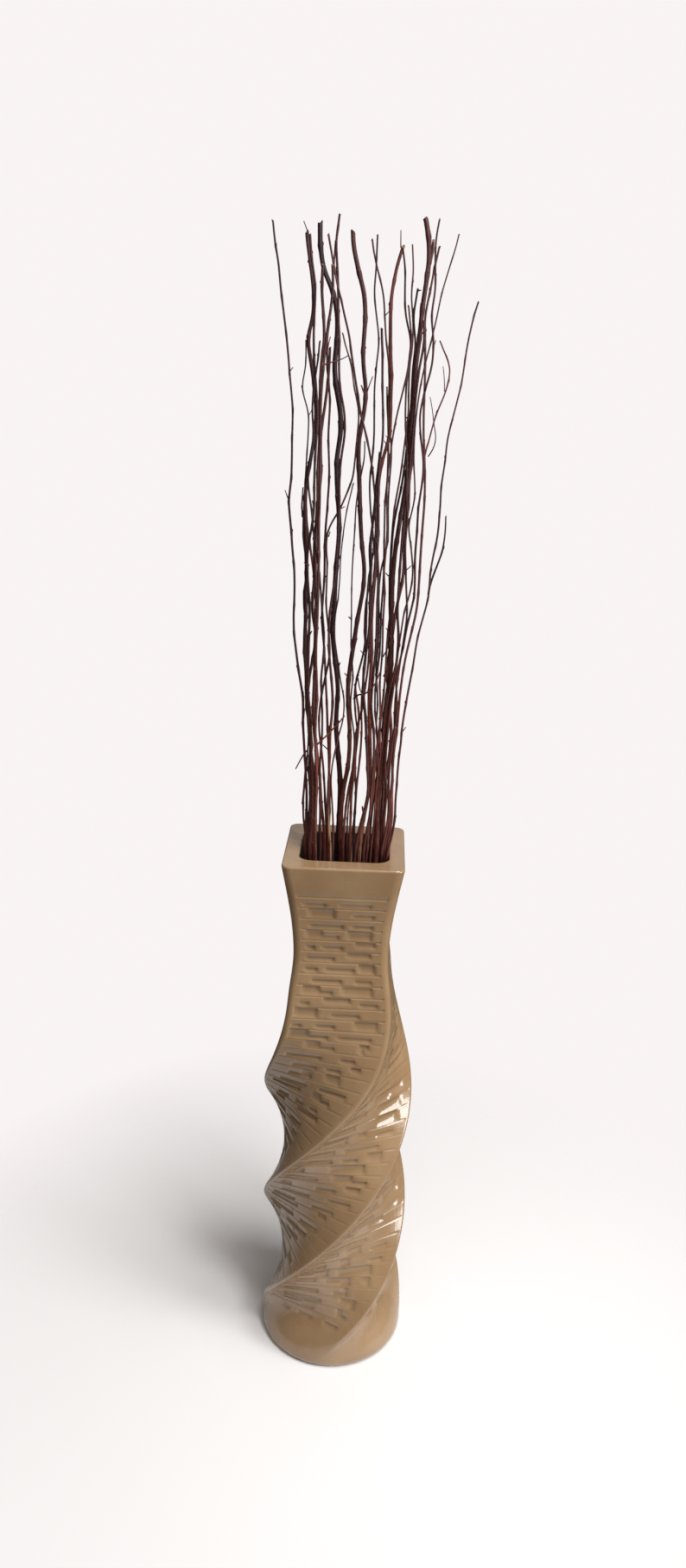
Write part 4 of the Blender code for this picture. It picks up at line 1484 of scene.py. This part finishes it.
@dataclass
class Studio:
    """Pale floor and backdrop, soft lights and the camera."""

    backdrop: tuple[float, float, float] = (0.945, 0.905, 0.90)
    surround: tuple[float, float, float] = (0.20, 0.185, 0.17)
    mirrored: tuple[float, float, float] = (0.11, 0.09, 0.07)
    floor_radius: float = 3.2
    floor_rings: int = 24
    floor_spokes: int = 64
    tilt: float = math.radians(18.76)
    roll: float = math.radians(1.7)
    yaw: float = math.radians(1.8)
    distance: float = 1.0631
    eye_height: float = 1.0279
    aside: float = 0.0042
    sensor: float = 36.0
    focal_share: float = 1300.0 / 1816.0
    lights: tuple[SoftLight, ...] = (
        SoftLight("window", (1.85, -0.80, 0.95), (0.0, 0.0, 0.40), (0.75, 1.15), 34.0, (0.94, 0.98, 1.0)),
        SoftLight("skylight", (0.85, -1.10, 1.95), (0.0, 0.0, 0.45), (0.40, 0.40), 20.0),
        SoftLight("ceiling", (0.55, -0.55, 2.40), (0.0, 0.0, 0.5), (0.9, 0.9), 34.0),
        SoftLight("front", (0.5, -2.3, 1.5), (0.0, 0.0, 0.5), (1.8, 1.8), 18.0, mirrored=False),
        SoftLight("pale_wall", (0.0, 2.4, 1.9), (0.0, 0.0, 0.6), (2.6, 1.6), 5.0),
    )

    def lay_floor(self) -> bpy.types.Object:
        """Lay the pale floor under the vase.

        Returns:
            The floor.
        """
        reach = np.linspace(0.0, 1.0, self.floor_rings + 1)[1:] ** 1.5 * self.floor_radius
        angle = np.arange(self.floor_spokes) * 2.0 * math.pi / self.floor_spokes
        ring = np.stack([np.outer(reach, np.cos(angle)), np.outer(reach, np.sin(angle)),
                         np.zeros((len(reach), len(angle)))], axis=2)
        floor = MeshBin(())
        faces = band_faces(len(reach), self.floor_spokes)
        faces.append(tuple(range(self.floor_spokes)))
        floor.add(ring.reshape(-1, 3), [tuple(reversed(f)) for f in faces[:-1]] + faces[-1:])
        made = floor.to_object("studio_floor")
        made.data.materials.append(FloorFinish().make())
        return made

    def light_backdrop(self) -> None:
        """Set the pale backdrop, the dimmer surround that lights the object, and its reflection."""
        world = bpy.data.worlds.new("studio")
        bpy.context.scene.world = world
        world.use_nodes = True
        tree = world.node_tree
        tree.nodes.clear()
        path = tree.nodes.new("ShaderNodeLightPath")
        before = tree.nodes.new("ShaderNodeBackground")
        before.inputs["Color"].default_value = self.surround + (1.0,)
        for ray, colour in (("Is Glossy Ray", self.mirrored), ("Is Camera Ray", self.backdrop)):
            shown, mix = tree.nodes.new("ShaderNodeBackground"), tree.nodes.new("ShaderNodeMixShader")
            shown.inputs["Color"].default_value = colour + (1.0,)
            tree.links.new(path.outputs[ray], mix.inputs[0])
            tree.links.new(before.outputs[0], mix.inputs[1])
            tree.links.new(shown.outputs[0], mix.inputs[2])
            before = mix
        out = tree.nodes.new("ShaderNodeOutputWorld")
        tree.links.new(before.outputs[0], out.inputs["Surface"])

    def set_camera(self) -> bpy.types.Object:
        """Place the camera.

        Returns:
            The camera.
        """
        ahead = Vector((-math.sin(self.yaw), math.cos(self.yaw), 0.0))
        right = Vector((math.cos(self.yaw), math.sin(self.yaw), 0.0))
        forward = ahead * math.cos(self.tilt) - Vector((0.0, 0.0, math.sin(self.tilt)))
        up = right.cross(forward)
        across = right * math.cos(self.roll) + up * math.sin(self.roll)
        upward = up * math.cos(self.roll) - right * math.sin(self.roll)
        place = ahead * -self.distance - right * self.aside + Vector((0.0, 0.0, self.eye_height))
        data = bpy.data.cameras.new("camera")
        data.sensor_fit = "AUTO"
        data.sensor_width = self.sensor
        data.lens = self.sensor * self.focal_share
        data.clip_start, data.clip_end = 0.02, 50.0
        camera = bpy.data.objects.new("camera", data)
        turn = Matrix((across, upward, -forward)).transposed().to_4x4()
        camera.matrix_world = Matrix.Translation(place) @ turn
        bpy.context.scene.collection.objects.link(camera)
        bpy.context.scene.camera = camera
        return camera

    def set_up(self) -> None:
        """Make the whole studio."""
        self.lay_floor()
        self.light_backdrop()
        for light in self.lights:
            light.make()
        self.set_camera()
        bpy.context.scene.view_settings.view_transform = "Standard"


# ---- making it all ---------------------------------------------------------------


def main() -> None:
    """Build every piece in order and report it."""
    logging.basicConfig(level=logging.INFO, format="%(name)s: %(message)s")
    Studio().set_up()
    vase = TwistedVase()
    piece = vase.build()
    vase.dress(piece)
    LOG.info("%s with %d faces", piece.name, len(piece.data.polygons))
    for piece in WillowBunch().build():
        LOG.info("%s with %d faces", piece.name, len(piece.data.polygons))


if __name__ == "__main__":
    main()
